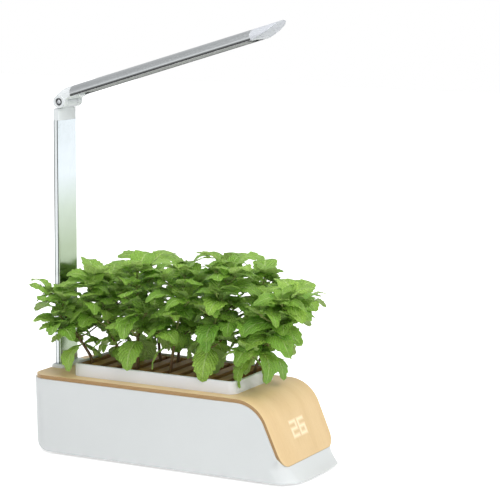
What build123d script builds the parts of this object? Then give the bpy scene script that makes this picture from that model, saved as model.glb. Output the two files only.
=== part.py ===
from build123d import *
import os
from math import atan2, cos, degrees, hypot, radians, sin, tan

os.makedirs("parts", exist_ok=True)

# Shared fits
overrun = 2.0
seat_gap = 0.3
running_gap = 0.06

# Housing
rear_x = -179.5
nose_x = 177.6
half_width = 70.0
wall = 3.2
draft = 1.5
foot_height = 3.0
rim_z = 90.5
rear_corner_r = 23.0
nose_corner_r = 14.0
heel_r = 28.0
rim_bend_r = 38.0
rim_turn_z = 31.4
rim_turn_r = 10.0
flush_z = 22.2
flush_r = 3.0
toe_x = 175.45
toe_tip_r = 0.8
toe_bend_z = 11.66
toe_bend_r = 34.0

# Bent cover
cover_top_z = 94.7
cover_thick = 5.0
cover_half = 68.0
cover_rear_x = -177.5
cover_corner_r = 21.0
cover_bend_r = 42.0
cover_low_z = 20.7
cover_low_r = 16.0
cover_gap = 0.2
slope_top_x = 126.0
slope_angle = 66.1
rim_sink = 3.2

# Planting tray
tray_rear_x = -128.7
tray_front_x = 88.5
tray_half = 51.5
tray_corner_r = 10.0
tray_rim_h = 15.0
tray_wall = 2.4
tub_inset = 4.2
tub_wall = 2.0
tub_low_z = 60.0
ledge_drop = 7.2
rim_edge_r = 0.9
root_hole_r = 7.0
root_hole_columns = 4
root_hole_pitch = 48.0
root_hole_row = 24.0

# Slat grid
slat_thick = 5.0
slat_width = 12.5
slat_border = 5.0
slat_count = 9
slat_corner_r = 7.0

# Growing medium
medium_top_z = 99.0

# Water tank
tank_rear_x = -140.0
tank_front_x = 108.0
tank_half = 55.0
tank_wall = 2.2
tank_top_z = 86.0
tank_corner_r = 12.0
tank_lip = 1.8
tank_lip_h = 2.4

# Base plate, its screws and feet
plate_thick = 2.6
plate_rear_x = -150.5
plate_front_x = 159.5
plate_half = 64.1
plate_corner_r = 6.0
boss_r = 4.2
boss_x = 118.0
boss_y = 60.2
boss_h = 24.0
screw_head_r = 2.9
screw_head_h = 1.7
screw_r = 1.5
screw_long = 9.0
drive_r = 1.0
drive_depth = 0.9
foot_r = 9.0
foot_x = 118.0
foot_y = 46.0
foot_plug_r = 3.0
foot_recess = 1.2

# Mast and its socket
mast_rear_x = -174.2
mast_thick = 7.7
mast_half = 18.9
mast_low_z = 66.0
mast_top_z = 392.0
mast_travel = 34.0
mast_edge_r = 1.0
face_plate = 1.4
face_inset = 0.5
groove_wide = 1.1
groove_deep = 1.3
bore_thick = 3.2
bore_half = 13.0
cable_r = 1.4
socket_side = 5.2
socket_front = 7.0
socket_low_z = 64.0
socket_top_z = 89.4
socket_ear_thick = 4.0
pad_x = -172.6
pad_r = 4.6
pad_y = 31.0
pad_z = 76.0
socket_screw_long = 8.0

# Collar at the foot of the mast
collar_rear_x = -177.4
collar_front_x = -158.5
collar_half = 25.0
collar_h = 4.0
collar_corner_r = 5.0
collar_edge_r = 1.2
collar_sleeve = 1.0
collar_sleeve_h = 4.6

# Hinge between mast and arm
hinge_x = -165.7
hinge_rise = 8.3
barrel_r = 7.6
barrel_half = 19.9
tongue_half = 9.6
washer_thick = 0.6
washer_r = 6.6
cap_high = 14.0
cap_plug_h = 14.0
bolt_r = 2.5
bolt_head_r = 4.3
bolt_head_h = 3.4
bolt_recess = 4.2
hex_r = 2.2
hex_deep = 2.2
nut_r = 4.6
nut_h = 4.0
nut_recess = 4.6
web_clear = 0.7

# Lamp arm
arm_tilt = 16.6
arm_low = 2.6
arm_high = 15.4
arm_side = 2.6
arm_half = 18.9
arm_start = 17.0
arm_end = 267.0
arm_skin = 1.5
window_half = 14.5
knuckle_rise_u = 7.0
knuckle_plug = 12.0
cap_plug = 12.0
cap_low_u = 281.0
cap_tip_u = 306.8
scoop_depth = 1.7
board_half = 13.6
board_thick = 1.6
board_height = 6.2
rail_y = 11.5
rail_wide = 1.4
rail_high = 12.4
flange_half = 16.2
flange_thick = 0.8
diffuser_sink = 0.3
chip = 3.0
chip_thick = 0.8
chip_pitch = 18.0
chip_count = 12
chip_row = 7.0
diffuser_thick = 1.6
arm_screw_u = 24.0
arm_screw_y = 15.9
arm_screw_r = 0.8
arm_screw_head_r = 1.5
arm_screw_head_h = 0.9
arm_screw_long = 4.5

# Power inlet in the rear wall
inlet_y = 36.0
inlet_z = 50.0
inlet_r = 4.6
inlet_flange_r = 6.5
inlet_flange_h = 1.6
inlet_long = 12.0
inlet_bore_r = 2.9
inlet_bore_long = 9.0
pin_r = 1.0

# Display behind the nose
display_z = 54.0
display_half = 19.0
display_up = 26.0
display_deep = 6.0
digit_half = 6.75
digit_up = 21.0
digit_row = 8.75
digit_deep = 1.0
display_board_half = 24.0
display_board_up = 32.0

# Control board
control_x = 131.0
control_long = 32.0
control_half = 36.0
control_post_h = 4.4
control_post_r = 3.2
control_hole_inset = 5.0
control_screw_long = 4.2
part_block = 9.0
part_tall = 6.0

# Pump and level float
pump_x = -112.0
pump_long = 40.0
pump_wide = 38.0
pump_h = 28.0
pump_corner_r = 5.0
pump_nozzle_r = 4.5
pump_nozzle_h = 12.0
pump_slot = 2.0
pump_slot_count = 6
float_x = 96.0
float_stem_r = 3.0
float_stem_top_z = 78.0
float_cap_r = 4.4
float_cap_h = 1.6
float_r = 8.4
float_h = 14.0
float_z = 34.0

# Mint plants
stem_r = 1.5
shoot_r = 1.1
stem_sides = 6
leaf_thick = 0.7
leaf_long = 38.0
leaf_step = 14.0
leaf_pitch = 34
leaf_droop = 12
leaf_width_share = 0.33
leaf_shares = ((0.15, 0.5), (0.4, 1), (0.7, 0.8), (1, 0))
leaf_trial_shares = (1, 0.85, 0.7, 0.55)
leaf_clear = 2.0
leaf_start_share = 0.2
golden_turn = 137.5
shoot_long = 26.0
shoot_step = 21.0
shoot_pitch = 28
shoot_leaf_share = 0.8
mast_keepout = 9.0
spread_half_long = 184.0
spread_half_wide = 79.0
canopy_half_long = 198.0
canopy_half_wide = 79.0
canopy_high = 160.0
# Gap of the root, root y share, then the tip as shares of the canopy
plant_shares = (
    (0, -0.55, -0.81, -0.62, 0.57),
    (2, -0.55, -0.51, -0.62, 0.71),
    (3, -0.60, -0.20, -0.64, 0.80),
    (5, -0.55, 0.11, -0.60, 0.79),
    (7, -0.60, 0.41, -0.64, 0.87),
    (9, -0.50, 0.82, -0.60, 0.70),
    (1, 0.60, -0.70, 0.64, 0.60),
    (3, 0.50, -0.42, 0.58, 0.72),
    (4, 0.60, -0.15, 0.66, 0.74),
    (6, 0.50, 0.12, 0.58, 0.78),
    (8, 0.60, 0.37, 0.66, 0.72),
    (9, 0.45, 0.57, 0.56, 0.58),
)


def slope_x(z, depth=0):
    """X of the sloping nose at a height, a depth inside the outer face of the cover."""
    rise = cover_top_z - z
    return slope_top_x + rise / tan(radians(slope_angle)) - depth / sin(radians(slope_angle))


def bend_points(depth, end_z):
    """Corners of the cover line a depth inside its outer face, from rear to nose."""
    flat_z = cover_top_z - depth
    start = (rear_x - overrun, flat_z)
    corner = (slope_x(flat_z, depth), flat_z)
    end = (slope_x(end_z, depth), end_z)
    return start, corner, end


def hull_plan(inset, rear=rear_x, front=nose_x, half=half_width):
    """Plan outline of the housing with its four rounded corners."""
    x0 = rear + inset
    x1 = front - inset
    y1 = half - inset
    rear_r = rear_corner_r - inset
    front_r = nose_corner_r - inset
    with BuildLine() as outline:
        FilletPolyline(
            (x0, -y1),
            (x1, -y1),
            (x1, y1),
            (x0, y1),
            radius=(rear_r, front_r, front_r, rear_r),
            close=True,
        )
    make_face(outline.edges())


def cover_blank(gap, lift):
    """Bent panel of the cover; gap widens its outline, lift raises its outer face."""
    top = cover_top_z + lift
    x0 = cover_rear_x - gap
    x1 = nose_x + overrun
    y1 = cover_half + gap
    corner = cover_corner_r + gap
    with BuildSketch(Plane.XY.offset(top)) as plan:
        with BuildLine():
            FilletPolyline(
                (x0, -y1),
                (x1, -y1),
                (x1, y1),
                (x0, y1),
                radius=(corner, 0, 0, corner),
                close=True,
            )
        make_face()
    extrude(plan.sketch, amount=cover_low_z - gap - top, taper=draft)
    low = cover_low_z - gap - overrun
    outer = bend_points(-lift, low)
    inner = bend_points(cover_thick, low)
    with BuildSketch(Plane.XZ) as side:
        with BuildLine():
            a = FilletPolyline(*outer, radius=cover_bend_r + lift)
            b = FilletPolyline(*inner, radius=cover_bend_r - cover_thick)
            Line(a @ 0, b @ 0)
            Line(a @ 1, b @ 1)
        make_face()
    extrude(side.sketch, amount=half_width + overrun, both=True, mode=Mode.INTERSECT)
    # Rounded lower corners
    round_z = cover_low_z + cover_low_r
    round_y = cover_half - (cover_top_z - round_z) * tan(radians(draft)) - cover_low_r
    for side in (-1, 1):
        with BuildSketch(Plane.YZ.offset(slope_top_x)) as notch:
            with Locations((side * (round_y + cover_low_r), cover_low_z)):
                Rectangle(cover_low_r * 2, cover_low_r * 2)
            with Locations((side * round_y, round_z)):
                Circle(cover_low_r + gap, mode=Mode.SUBTRACT)
        extrude(notch.sketch, amount=nose_x - slope_top_x + overrun, mode=Mode.SUBTRACT)


def slab(x0, x1, half, z0, z1, corner_r=0, mode=Mode.ADD):
    """Upright block between two x stations with rounded plan corners."""
    with BuildSketch(Plane.XY.offset(z0)) as plan:
        with Locations(((x0 + x1) / 2, 0)):
            if corner_r:
                RectangleRounded(x1 - x0, half * 2, corner_r)
            else:
                Rectangle(x1 - x0, half * 2)
    extrude(plan.sketch, amount=z1 - z0, mode=mode)


def post(x, y, z0, z1, r, mode=Mode.ADD):
    """Upright cylinder between two heights."""
    with BuildSketch(Plane.XY.offset(z0)) as plan:
        with Locations((x, y)):
            Circle(r)
    extrude(plan.sketch, amount=z1 - z0, mode=mode)


def screw(plane, head_r, head_h, shank_r, length):
    """Screw with a flat head; its head top lies on the plane and it points along +z."""
    with BuildSketch(plane) as head:
        Circle(head_r)
    extrude(head.sketch, amount=head_h)
    with BuildSketch(plane.offset(head_h)) as shank:
        Circle(shank_r)
    extrude(shank.sketch, amount=length - head_h)
    with BuildSketch(plane) as drive:
        RegularPolygon(drive_r * head_r / screw_head_r, 6)
    extrude(drive.sketch, amount=drive_depth * head_h / screw_head_h, mode=Mode.SUBTRACT)


def arm_plane(u, v=0, y=0):
    """Plane across the arm at a distance from the hinge axis."""
    c = cos(radians(arm_tilt))
    s = sin(radians(arm_tilt))
    origin = (hinge_x + u * c - v * s, y, hinge_z + u * s + v * c)
    return Plane(origin=origin, x_dir=(0, 1, 0), z_dir=(c, 0, s))


def arm_side_plane(y=0):
    """Plane along the arm seen from the side, x along the arm and y upwards."""
    c = cos(radians(arm_tilt))
    s = sin(radians(arm_tilt))
    return Plane(origin=(hinge_x, y, hinge_z), x_dir=(c, 0, s), z_dir=(0, -1, 0))


def arm_under_plane(v):
    """Plane along the underside of the arm, x along the arm and its normal downwards."""
    c = cos(radians(arm_tilt))
    s = sin(radians(arm_tilt))
    origin = (hinge_x - v * s, 0, hinge_z + v * c)
    return Plane(origin=origin, x_dir=(c, 0, s), z_dir=(s, 0, -c))


def arm_profile(inset):
    """Section of the arm: flat underside, short sides, and a curved back."""
    half = arm_half - inset
    low = arm_low + inset
    mid = arm_low + arm_side
    high = arm_high - inset - mid
    with BuildLine() as outline:
        Polyline((-half, mid), (-half, low), (half, low), (half, mid))
        EllipticalCenterArc((0, mid), half, high, start_angle=0, arc_size=180)
    make_face(outline.edges())


def across(y0, y1, r, mode=Mode.ADD):
    """Cylinder on the hinge axis between two y stations."""
    plane = Plane(origin=(hinge_x, y0, hinge_z), x_dir=(1, 0, 0), z_dir=(0, 1, 0))
    with BuildSketch(plane) as disc:
        Circle(r)
    extrude(disc.sketch, amount=y1 - y0, mode=mode)


def arm_screw_holes(reach):
    """Cut the holes of the arm screws into a plug of the arm."""
    for u in arm_screw_stations:
        for side in (-1, 1):
            with BuildSketch(arm_under_plane(arm_low)) as hole:
                with Locations((u, side * arm_screw_y)):
                    Circle(arm_screw_r)
            extrude(hole.sketch, amount=-reach, mode=Mode.SUBTRACT)


def nose_plane(depth):
    """Plane parallel to the nose face, centred on the display."""
    nx = sin(radians(slope_angle))
    nz = cos(radians(slope_angle))
    origin = (slope_x(display_z, depth), 0, display_z)
    return Plane(origin=origin, x_dir=(0, 1, 0), z_dir=(nx, 0, nz))


light_start = arm_start + knuckle_plug + seat_gap
light_end = arm_end - cap_plug - seat_gap
arm_screw_stations = (arm_screw_u, arm_end - arm_screw_u + arm_start)
plate_top_z = foot_height + plate_thick
mast_front_x = mast_rear_x + mast_thick
cap_top_z = mast_top_z + cap_high
hinge_z = cap_top_z + hinge_rise
tray_top_z = cover_top_z + tray_rim_h
ledge_z = tray_top_z - ledge_drop
tub_rear_x = tray_rear_x + tub_inset
tub_front_x = tray_front_x - tub_inset
tub_half = tray_half - tub_inset
tub_corner_r = tray_corner_r - tub_inset / 2
tank_floor_z = plate_top_z + tank_wall

# Pocket that the bent cover sits in
with BuildPart() as cover_pocket:
    cover_blank(cover_gap, overrun)

# Hollow of the housing, open below for the base plate
with BuildPart() as cavity:
    with BuildSketch(Plane.XY.offset(rim_z + overrun)):
        hull_plan(wall)
    extrude(amount=foot_height - rim_z - overrun * 2, taper=draft)
    shelf_z = cover_low_z + wall * 2
    with BuildSketch(Plane.XZ):
        with BuildLine():
            FilletPolyline(
                (rear_x, foot_height + wall),
                (rear_x, rim_z + overrun * 2),
                (nose_x, rim_z + overrun * 2),
                (nose_x, shelf_z + wall),
                (slope_x(shelf_z + wall, cover_thick) - wall, shelf_z + wall),
                (slope_x(shelf_z, cover_thick + wall), toe_bend_z + wall),
                (plate_front_x + seat_gap, foot_height + wall),
                radius=(heel_r - wall, 0, 0, 0, flush_r, flush_r, 0),
                close=True,
            )
        make_face()
    extrude(amount=half_width, both=True, mode=Mode.INTERSECT)
    slab(
        plate_rear_x - seat_gap,
        plate_front_x + seat_gap,
        plate_half + seat_gap,
        foot_height - overrun,
        plate_top_z + wall,
        plate_corner_r,
    )
    # Screw bosses with a rib to the side wall are left standing
    for x in (-boss_x, 0, boss_x):
        for side in (-1, 1):
            post(x, side * boss_y, plate_top_z, plate_top_z + boss_h, boss_r, Mode.SUBTRACT)
            with BuildSketch(Plane.XY.offset(plate_top_z)):
                with Locations((x, side * (boss_y + half_width) / 2)):
                    Rectangle(boss_r, half_width - boss_y)
            extrude(amount=boss_h, mode=Mode.SUBTRACT)
    # Pads for the mast socket are left standing
    for side in (-1, 1):
        with BuildSketch(Plane.YZ.offset(pad_x)):
            with Locations((side * pad_y, pad_z)):
                Circle(pad_r)
        extrude(amount=rear_x - pad_x, mode=Mode.SUBTRACT)

# Moulded housing
with BuildPart() as outer_shell:
    with BuildSketch(Plane.XY.offset(rim_z)):
        hull_plan(0)
    extrude(amount=foot_height - rim_z, taper=draft)
    with BuildSketch(Plane.XZ):
        with BuildLine():
            FilletPolyline(
                (rear_x, foot_height),
                (rear_x, rim_z),
                (slope_x(rim_z, rim_sink), rim_z),
                (slope_x(rim_turn_z, rim_sink), rim_turn_z),
                (slope_x(flush_z), flush_z),
                (slope_x(toe_bend_z), toe_bend_z),
                (toe_x, foot_height),
                radius=(heel_r, 0, rim_bend_r, rim_turn_r, flush_r, toe_bend_r, toe_tip_r),
                close=True,
            )
        make_face()
    extrude(amount=half_width + overrun, both=True, mode=Mode.INTERSECT)
    add(cavity.part, mode=Mode.SUBTRACT)
    add(cover_pocket.part, mode=Mode.SUBTRACT)
    # Screw holes in the bosses and pads
    for x in (-boss_x, 0, boss_x):
        for side in (-1, 1):
            high = plate_top_z + screw_long
            post(x, side * boss_y, plate_top_z - overrun, high, screw_r, Mode.SUBTRACT)
    for side in (-1, 1):
        with BuildSketch(Plane.YZ.offset(pad_x)):
            with Locations((side * pad_y, pad_z)):
                Circle(screw_r)
        extrude(amount=socket_ear_thick - socket_screw_long, mode=Mode.SUBTRACT)
    # Hole for the power inlet
    with BuildSketch(Plane.YZ.offset(rear_x - overrun)):
        with Locations((inlet_y, inlet_z)):
            Circle(inlet_r + running_gap)
    extrude(amount=wall * 2 + overrun, mode=Mode.SUBTRACT)

# Bent bamboo cover
with BuildPart() as wood_cover:
    cover_blank(0, 0)
    slab(
        tub_rear_x - tub_wall / 2,
        tub_front_x + tub_wall / 2,
        tub_half + tub_wall / 2,
        cover_top_z - cover_thick - overrun,
        cover_top_z + overrun,
        tub_corner_r,
        Mode.SUBTRACT,
    )
    slab(
        mast_rear_x - seat_gap,
        mast_front_x + collar_sleeve + seat_gap,
        mast_half + collar_sleeve + seat_gap,
        cover_top_z - cover_thick - overrun,
        cover_top_z + overrun,
        0,
        Mode.SUBTRACT,
    )

# Closing plate under the housing
with BuildPart() as base_plate:
    slab(plate_rear_x, plate_front_x, plate_half, foot_height, plate_top_z, plate_corner_r)
    control_xs = [control_x - control_long / 2 + control_hole_inset]
    control_xs.append(control_x + control_long / 2 - control_hole_inset)
    control_y = control_half - control_hole_inset
    for x in control_xs:
        for side in (-1, 1):
            post(x, side * control_y, foot_height, plate_top_z + control_post_h, control_post_r)
            hole_low = plate_top_z + control_post_h - control_screw_long
            post(x, side * control_y, hole_low, plate_top_z + control_post_h, screw_r, Mode.SUBTRACT)
    for x in (-boss_x, 0, boss_x):
        for side in (-1, 1):
            post(x, side * boss_y, foot_height, plate_top_z, screw_r + seat_gap, Mode.SUBTRACT)
            head_top = foot_height + screw_head_h
            post(x, side * boss_y, foot_height, head_top, screw_head_r + seat_gap, Mode.SUBTRACT)
    for x in (-foot_x, foot_x):
        for side in (-1, 1):
            post(x, side * foot_y, foot_height, foot_height + foot_recess, foot_plug_r, Mode.SUBTRACT)

with BuildPart() as base_screws:
    for x in (-boss_x, 0, boss_x):
        for side in (-1, 1):
            origin = (x, side * boss_y, foot_height)
            screw(Plane(origin=origin), screw_head_r, screw_head_h, screw_r, screw_long)

with BuildPart() as rubber_feet:
    for x in (-foot_x, foot_x):
        for side in (-1, 1):
            post(x, side * foot_y, 0, foot_height, foot_r)
            post(x, side * foot_y, foot_height, foot_height + foot_recess, foot_plug_r)
    chamfer(edges().group_by(Axis.Z)[0], length=foot_recess / 2)

# Reservoir with a lip at the top
with BuildPart() as water_tank:
    slab(tank_rear_x, tank_front_x, tank_half, plate_top_z, tank_top_z, tank_corner_r)
    slab(
        tank_rear_x - tank_lip,
        tank_front_x + tank_lip,
        tank_half + tank_lip,
        tank_top_z - tank_lip_h,
        tank_top_z,
        tank_corner_r + tank_lip,
    )
    slab(
        tank_rear_x + tank_wall,
        tank_front_x - tank_wall,
        tank_half - tank_wall,
        tank_floor_z,
        tank_top_z + overrun,
        tank_corner_r - tank_wall,
        Mode.SUBTRACT,
    )

with BuildPart() as water_pump:
    pump_top_z = tank_floor_z + pump_h
    slab(
        pump_x - pump_long / 2,
        pump_x + pump_long / 2,
        pump_wide / 2,
        tank_floor_z,
        pump_top_z,
        pump_corner_r,
    )
    chamfer(faces().sort_by(Axis.Z)[-1].edges(), length=pump_slot)
    post(pump_x, 0, pump_top_z, pump_top_z + pump_nozzle_h, pump_nozzle_r)
    post(pump_x, 0, pump_top_z, pump_top_z + pump_nozzle_h, pump_nozzle_r - pump_slot, Mode.SUBTRACT)
    for step in range(pump_slot_count):
        slot_y = (step - (pump_slot_count - 1) / 2) * pump_slot * 2
        with BuildSketch(Plane.YZ.offset(pump_x + pump_long / 2)):
            with Locations((slot_y, tank_floor_z + pump_h / 3)):
                Rectangle(pump_slot, pump_h / 3)
        extrude(amount=-pump_slot, mode=Mode.SUBTRACT)

with BuildPart() as float_stem:
    post(float_x, 0, tank_floor_z, float_stem_top_z, float_stem_r)
    post(float_x, 0, tank_floor_z, tank_floor_z + float_cap_h, float_cap_r)
    post(float_x, 0, float_stem_top_z, float_stem_top_z + float_cap_h, float_cap_r)

with BuildPart() as level_float:
    post(float_x, 0, float_z, float_z + float_h, float_r)
    chamfer(edges().filter_by(GeomType.CIRCLE), length=float_cap_h)
    post(float_x, 0, float_z - overrun, float_z + float_h + overrun, float_stem_r + running_gap, Mode.SUBTRACT)

# Planting tray: raised rim on the cover and a tub below it
with BuildPart() as planting_tray:
    slab(tray_rear_x, tray_front_x, tray_half, cover_top_z, tray_top_z, tray_corner_r)
    chamfer(faces().sort_by(Axis.Z)[-1].edges(), length=rim_edge_r)
    slab(tub_rear_x, tub_front_x, tub_half, tub_low_z, cover_top_z, tub_corner_r)
    slab(
        tray_rear_x + tray_wall,
        tray_front_x - tray_wall,
        tray_half - tray_wall,
        ledge_z,
        tray_top_z + overrun,
        tray_corner_r - tray_wall,
        Mode.SUBTRACT,
    )
    slab(
        tub_rear_x + tub_wall,
        tub_front_x - tub_wall,
        tub_half - tub_wall,
        tub_low_z + tub_wall,
        tray_top_z,
        tub_corner_r - tub_wall,
        Mode.SUBTRACT,
    )
    tray_mid_x = (tray_rear_x + tray_front_x) / 2
    for column in range(root_hole_columns):
        x = tray_mid_x + (column - (root_hole_columns - 1) / 2) * root_hole_pitch
        for side in (-1, 1):
            low = tub_low_z - overrun
            high = tub_low_z + tub_wall + overrun
            post(x, side * root_hole_row, low, high, root_hole_r, Mode.SUBTRACT)

# Slat grid resting on the ledge of the tray
grid_rear_x = tray_rear_x + tray_wall + seat_gap
grid_front_x = tray_front_x - tray_wall - seat_gap
grid_half = tray_half - tray_wall - seat_gap
grid_inner = grid_front_x - grid_rear_x - slat_border * 2
slat_gap = (grid_inner - slat_count * slat_width) / (slat_count + 1)
slat_pitch = slat_width + slat_gap
gap_start_x = grid_rear_x + slat_border + slat_gap / 2
with BuildPart() as slat_grid:
    slab(grid_rear_x, grid_front_x, grid_half, ledge_z, ledge_z + slat_thick, slat_corner_r)
    for step in range(slat_count + 1):
        x = gap_start_x + step * slat_pitch
        slab(
            x - slat_gap / 2,
            x + slat_gap / 2,
            grid_half - slat_border,
            ledge_z - overrun,
            ledge_z + slat_thick + overrun,
            0,
            Mode.SUBTRACT,
        )

with BuildPart() as growing_medium:
    slab(
        tub_rear_x + tub_wall + seat_gap,
        tub_front_x - tub_wall - seat_gap,
        tub_half - tub_wall - seat_gap,
        tub_low_z + tub_wall,
        medium_top_z,
        tub_corner_r - tub_wall,
    )

# Collar around the foot of the mast
with BuildPart() as mast_collar:
    slab(
        collar_rear_x,
        collar_front_x,
        collar_half,
        cover_top_z,
        cover_top_z + collar_h,
        collar_corner_r,
    )
    chamfer(faces().sort_by(Axis.Z)[-1].edges(), length=collar_edge_r)
    slab(
        mast_rear_x,
        mast_front_x + collar_sleeve,
        mast_half + collar_sleeve,
        cover_top_z - collar_sleeve_h,
        cover_top_z,
    )
    slab(
        mast_rear_x - running_gap,
        mast_front_x + running_gap,
        mast_half + running_gap,
        cover_top_z - collar_sleeve_h - overrun,
        cover_top_z + collar_h + overrun,
        0,
        Mode.SUBTRACT,
    )

# Socket that guides the foot of the mast inside the housing
with BuildPart() as mast_socket:
    slab(
        pad_x,
        mast_front_x + socket_front,
        mast_half + socket_side,
        socket_low_z,
        socket_top_z,
    )
    for side in (-1, 1):
        with BuildSketch(Plane.XY.offset(pad_z - pad_r)):
            with Locations((pad_x + socket_ear_thick / 2, side * pad_y)):
                Rectangle(socket_ear_thick, pad_r * 3)
        extrude(amount=pad_r * 2)
        with BuildSketch(Plane.YZ.offset(pad_x)):
            with Locations((side * pad_y, pad_z)):
                Circle(screw_r + seat_gap)
        extrude(amount=socket_ear_thick, mode=Mode.SUBTRACT)
    slab(
        mast_rear_x - overrun,
        mast_front_x + running_gap,
        mast_half + running_gap,
        socket_low_z - overrun,
        socket_top_z + overrun,
        0,
        Mode.SUBTRACT,
    )

with BuildPart() as socket_screws:
    for side in (-1, 1):
        origin = (pad_x + socket_ear_thick + screw_head_h, side * pad_y, pad_z)
        plane = Plane(origin=origin, x_dir=(0, 1, 0), z_dir=(-1, 0, 0))
        screw(plane, screw_head_r, screw_head_h, screw_r, socket_screw_long)

# Aluminium mast: hollow section with a groove pair behind the face strip
with BuildPart() as mast_extrusion:
    core_front_x = mast_front_x - face_plate
    slab(mast_rear_x, core_front_x, mast_half, mast_low_z, mast_top_z)
    rear_edges = edges().filter_by(Axis.Z).group_by(Axis.X)[0]
    fillet(rear_edges, radius=mast_edge_r)
    bore_mid_x = mast_rear_x + (mast_thick - face_plate) / 2
    slab(
        bore_mid_x - bore_thick / 2,
        bore_mid_x + bore_thick / 2,
        bore_half,
        mast_low_z - overrun,
        mast_top_z + overrun,
        0,
        Mode.SUBTRACT,
    )
    for side in (-1, 1):
        with BuildSketch(Plane.XY.offset(mast_low_z - overrun)):
            with Locations((core_front_x - groove_wide / 2, side * mast_half)):
                Rectangle(groove_wide, groove_deep * 2)
        extrude(amount=mast_top_z - mast_low_z + overrun * 2, mode=Mode.SUBTRACT)

with BuildPart() as mast_face_plate:
    slab(core_front_x, mast_front_x, mast_half, mast_low_z, mast_top_z)
    front_edges = edges().filter_by(Axis.Z).group_by(Axis.X)[-1]
    fillet(front_edges, radius=face_inset)

with BuildPart() as lamp_cable:
    post(bore_mid_x, 0, mast_low_z, mast_top_z - cap_plug_h - overrun, cable_r)

# Block on top of the mast with the middle knuckle of the hinge
with BuildPart() as mast_cap:
    slab(mast_rear_x, mast_front_x, mast_half, mast_top_z, cap_top_z)
    fillet(edges().filter_by(Axis.Z), radius=mast_edge_r)
    slab(
        bore_mid_x - bore_thick / 2 + seat_gap / 2,
        bore_mid_x + bore_thick / 2 - seat_gap / 2,
        bore_half - seat_gap,
        mast_top_z - cap_plug_h,
        mast_top_z,
    )
    across(-tongue_half, tongue_half, barrel_r)
    with BuildSketch(Plane.XZ):
        Polygon(
            (mast_rear_x + mast_edge_r, cap_top_z),
            (mast_rear_x + mast_edge_r, cap_top_z + mast_edge_r),
            (hinge_x - barrel_r, hinge_z),
            (hinge_x, hinge_z),
            (mast_front_x, cap_top_z),
            align=None,
        )
    extrude(amount=tongue_half, both=True)
    across(-tongue_half, tongue_half, bolt_r + running_gap, Mode.SUBTRACT)

# Wedge at the root of the arm with the two outer knuckles
with BuildPart() as arm_knuckle:
    with BuildSketch(arm_side_plane()):
        with BuildLine():
            rise = hypot(knuckle_rise_u, arm_high)
            swing = degrees(atan2(arm_high, knuckle_rise_u))
            touch = radians(swing + degrees(atan2((rise ** 2 - barrel_r ** 2) ** 0.5, barrel_r)))
            Polyline(
                (barrel_r * cos(touch), barrel_r * sin(touch)),
                (knuckle_rise_u, arm_high),
                (arm_start, arm_high),
                (arm_start, arm_low),
                (barrel_r, arm_low - arm_side),
                (0, 0),
                close=True,
            )
        make_face()
    extrude(amount=arm_half, both=True)
    with BuildSketch(arm_plane(-arm_start)):
        arm_profile(0)
        with Locations((0, arm_low - arm_high / 2)):
            Rectangle(arm_half * 2, arm_high)
    extrude(amount=arm_start * 2, mode=Mode.INTERSECT)
    across(-barrel_half, barrel_half, barrel_r)
    across(-tongue_half - washer_thick, tongue_half + washer_thick, barrel_r + web_clear, Mode.SUBTRACT)
    across(-barrel_half, barrel_half, bolt_r, Mode.SUBTRACT)
    across(-barrel_half, -barrel_half + bolt_recess, bolt_head_r + seat_gap, Mode.SUBTRACT)
    nut_plane = Plane(
        origin=(hinge_x, barrel_half, hinge_z), x_dir=(1, 0, 0), z_dir=(0, -1, 0)
    )
    with BuildSketch(nut_plane):
        RegularPolygon(nut_r, 6)
    extrude(amount=nut_recess, mode=Mode.SUBTRACT)
    with BuildSketch(arm_plane(arm_start)):
        arm_profile(arm_skin + seat_gap / 2)
    extrude(amount=knuckle_plug)
    arm_screw_holes(arm_screw_long)

with BuildPart() as hinge_bolt:
    head_y = -barrel_half + bolt_recess
    across(head_y - bolt_head_h, head_y, bolt_head_r)
    across(head_y, barrel_half - nut_recess + nut_h, bolt_r)
    hex_plane = Plane(
        origin=(hinge_x, head_y - bolt_head_h, hinge_z), x_dir=(1, 0, 0), z_dir=(0, 1, 0)
    )
    with BuildSketch(hex_plane):
        RegularPolygon(hex_r, 6)
    extrude(amount=hex_deep, mode=Mode.SUBTRACT)

with BuildPart() as hinge_nut:
    with BuildSketch(nut_plane.offset(nut_recess - nut_h)):
        RegularPolygon(nut_r, 6)
        Circle(bolt_r, mode=Mode.SUBTRACT)
    extrude(amount=nut_h)

with BuildPart() as friction_washers:
    for side in (-1, 1):
        near_y = side * tongue_half
        far_y = side * (tongue_half + washer_thick)
        across(near_y, far_y, washer_r)
        across(near_y, far_y, bolt_r, Mode.SUBTRACT)

# Aluminium arm, open below for the light
with BuildPart() as arm_extrusion:
    with BuildSketch(arm_plane(arm_start)):
        arm_profile(0)
    extrude(amount=arm_end - arm_start)
    with BuildSketch(arm_plane(arm_start - overrun)):
        arm_profile(arm_skin)
        with Locations((0, arm_low)):
            Rectangle(window_half * 2, arm_skin * 3)
    extrude(amount=arm_end - arm_start + overrun * 2, mode=Mode.SUBTRACT)
    # Rails above the light board
    for side in (-1, 1):
        with BuildSketch(arm_plane(light_start)):
            with Locations((side * rail_y, (rail_high + board_height + board_thick) / 2)):
                Rectangle(rail_wide, rail_high - board_height - board_thick)
        extrude(amount=light_end - light_start)
    for u in arm_screw_stations:
        for side in (-1, 1):
            with BuildSketch(arm_under_plane(arm_low)):
                with Locations((u, side * arm_screw_y)):
                    Circle(arm_screw_head_r)
            extrude(amount=-arm_screw_head_h, mode=Mode.SUBTRACT)
            with BuildSketch(arm_under_plane(arm_low)):
                with Locations((u, side * arm_screw_y)):
                    Circle(arm_screw_r)
            extrude(amount=-arm_skin * 2, mode=Mode.SUBTRACT)

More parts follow.
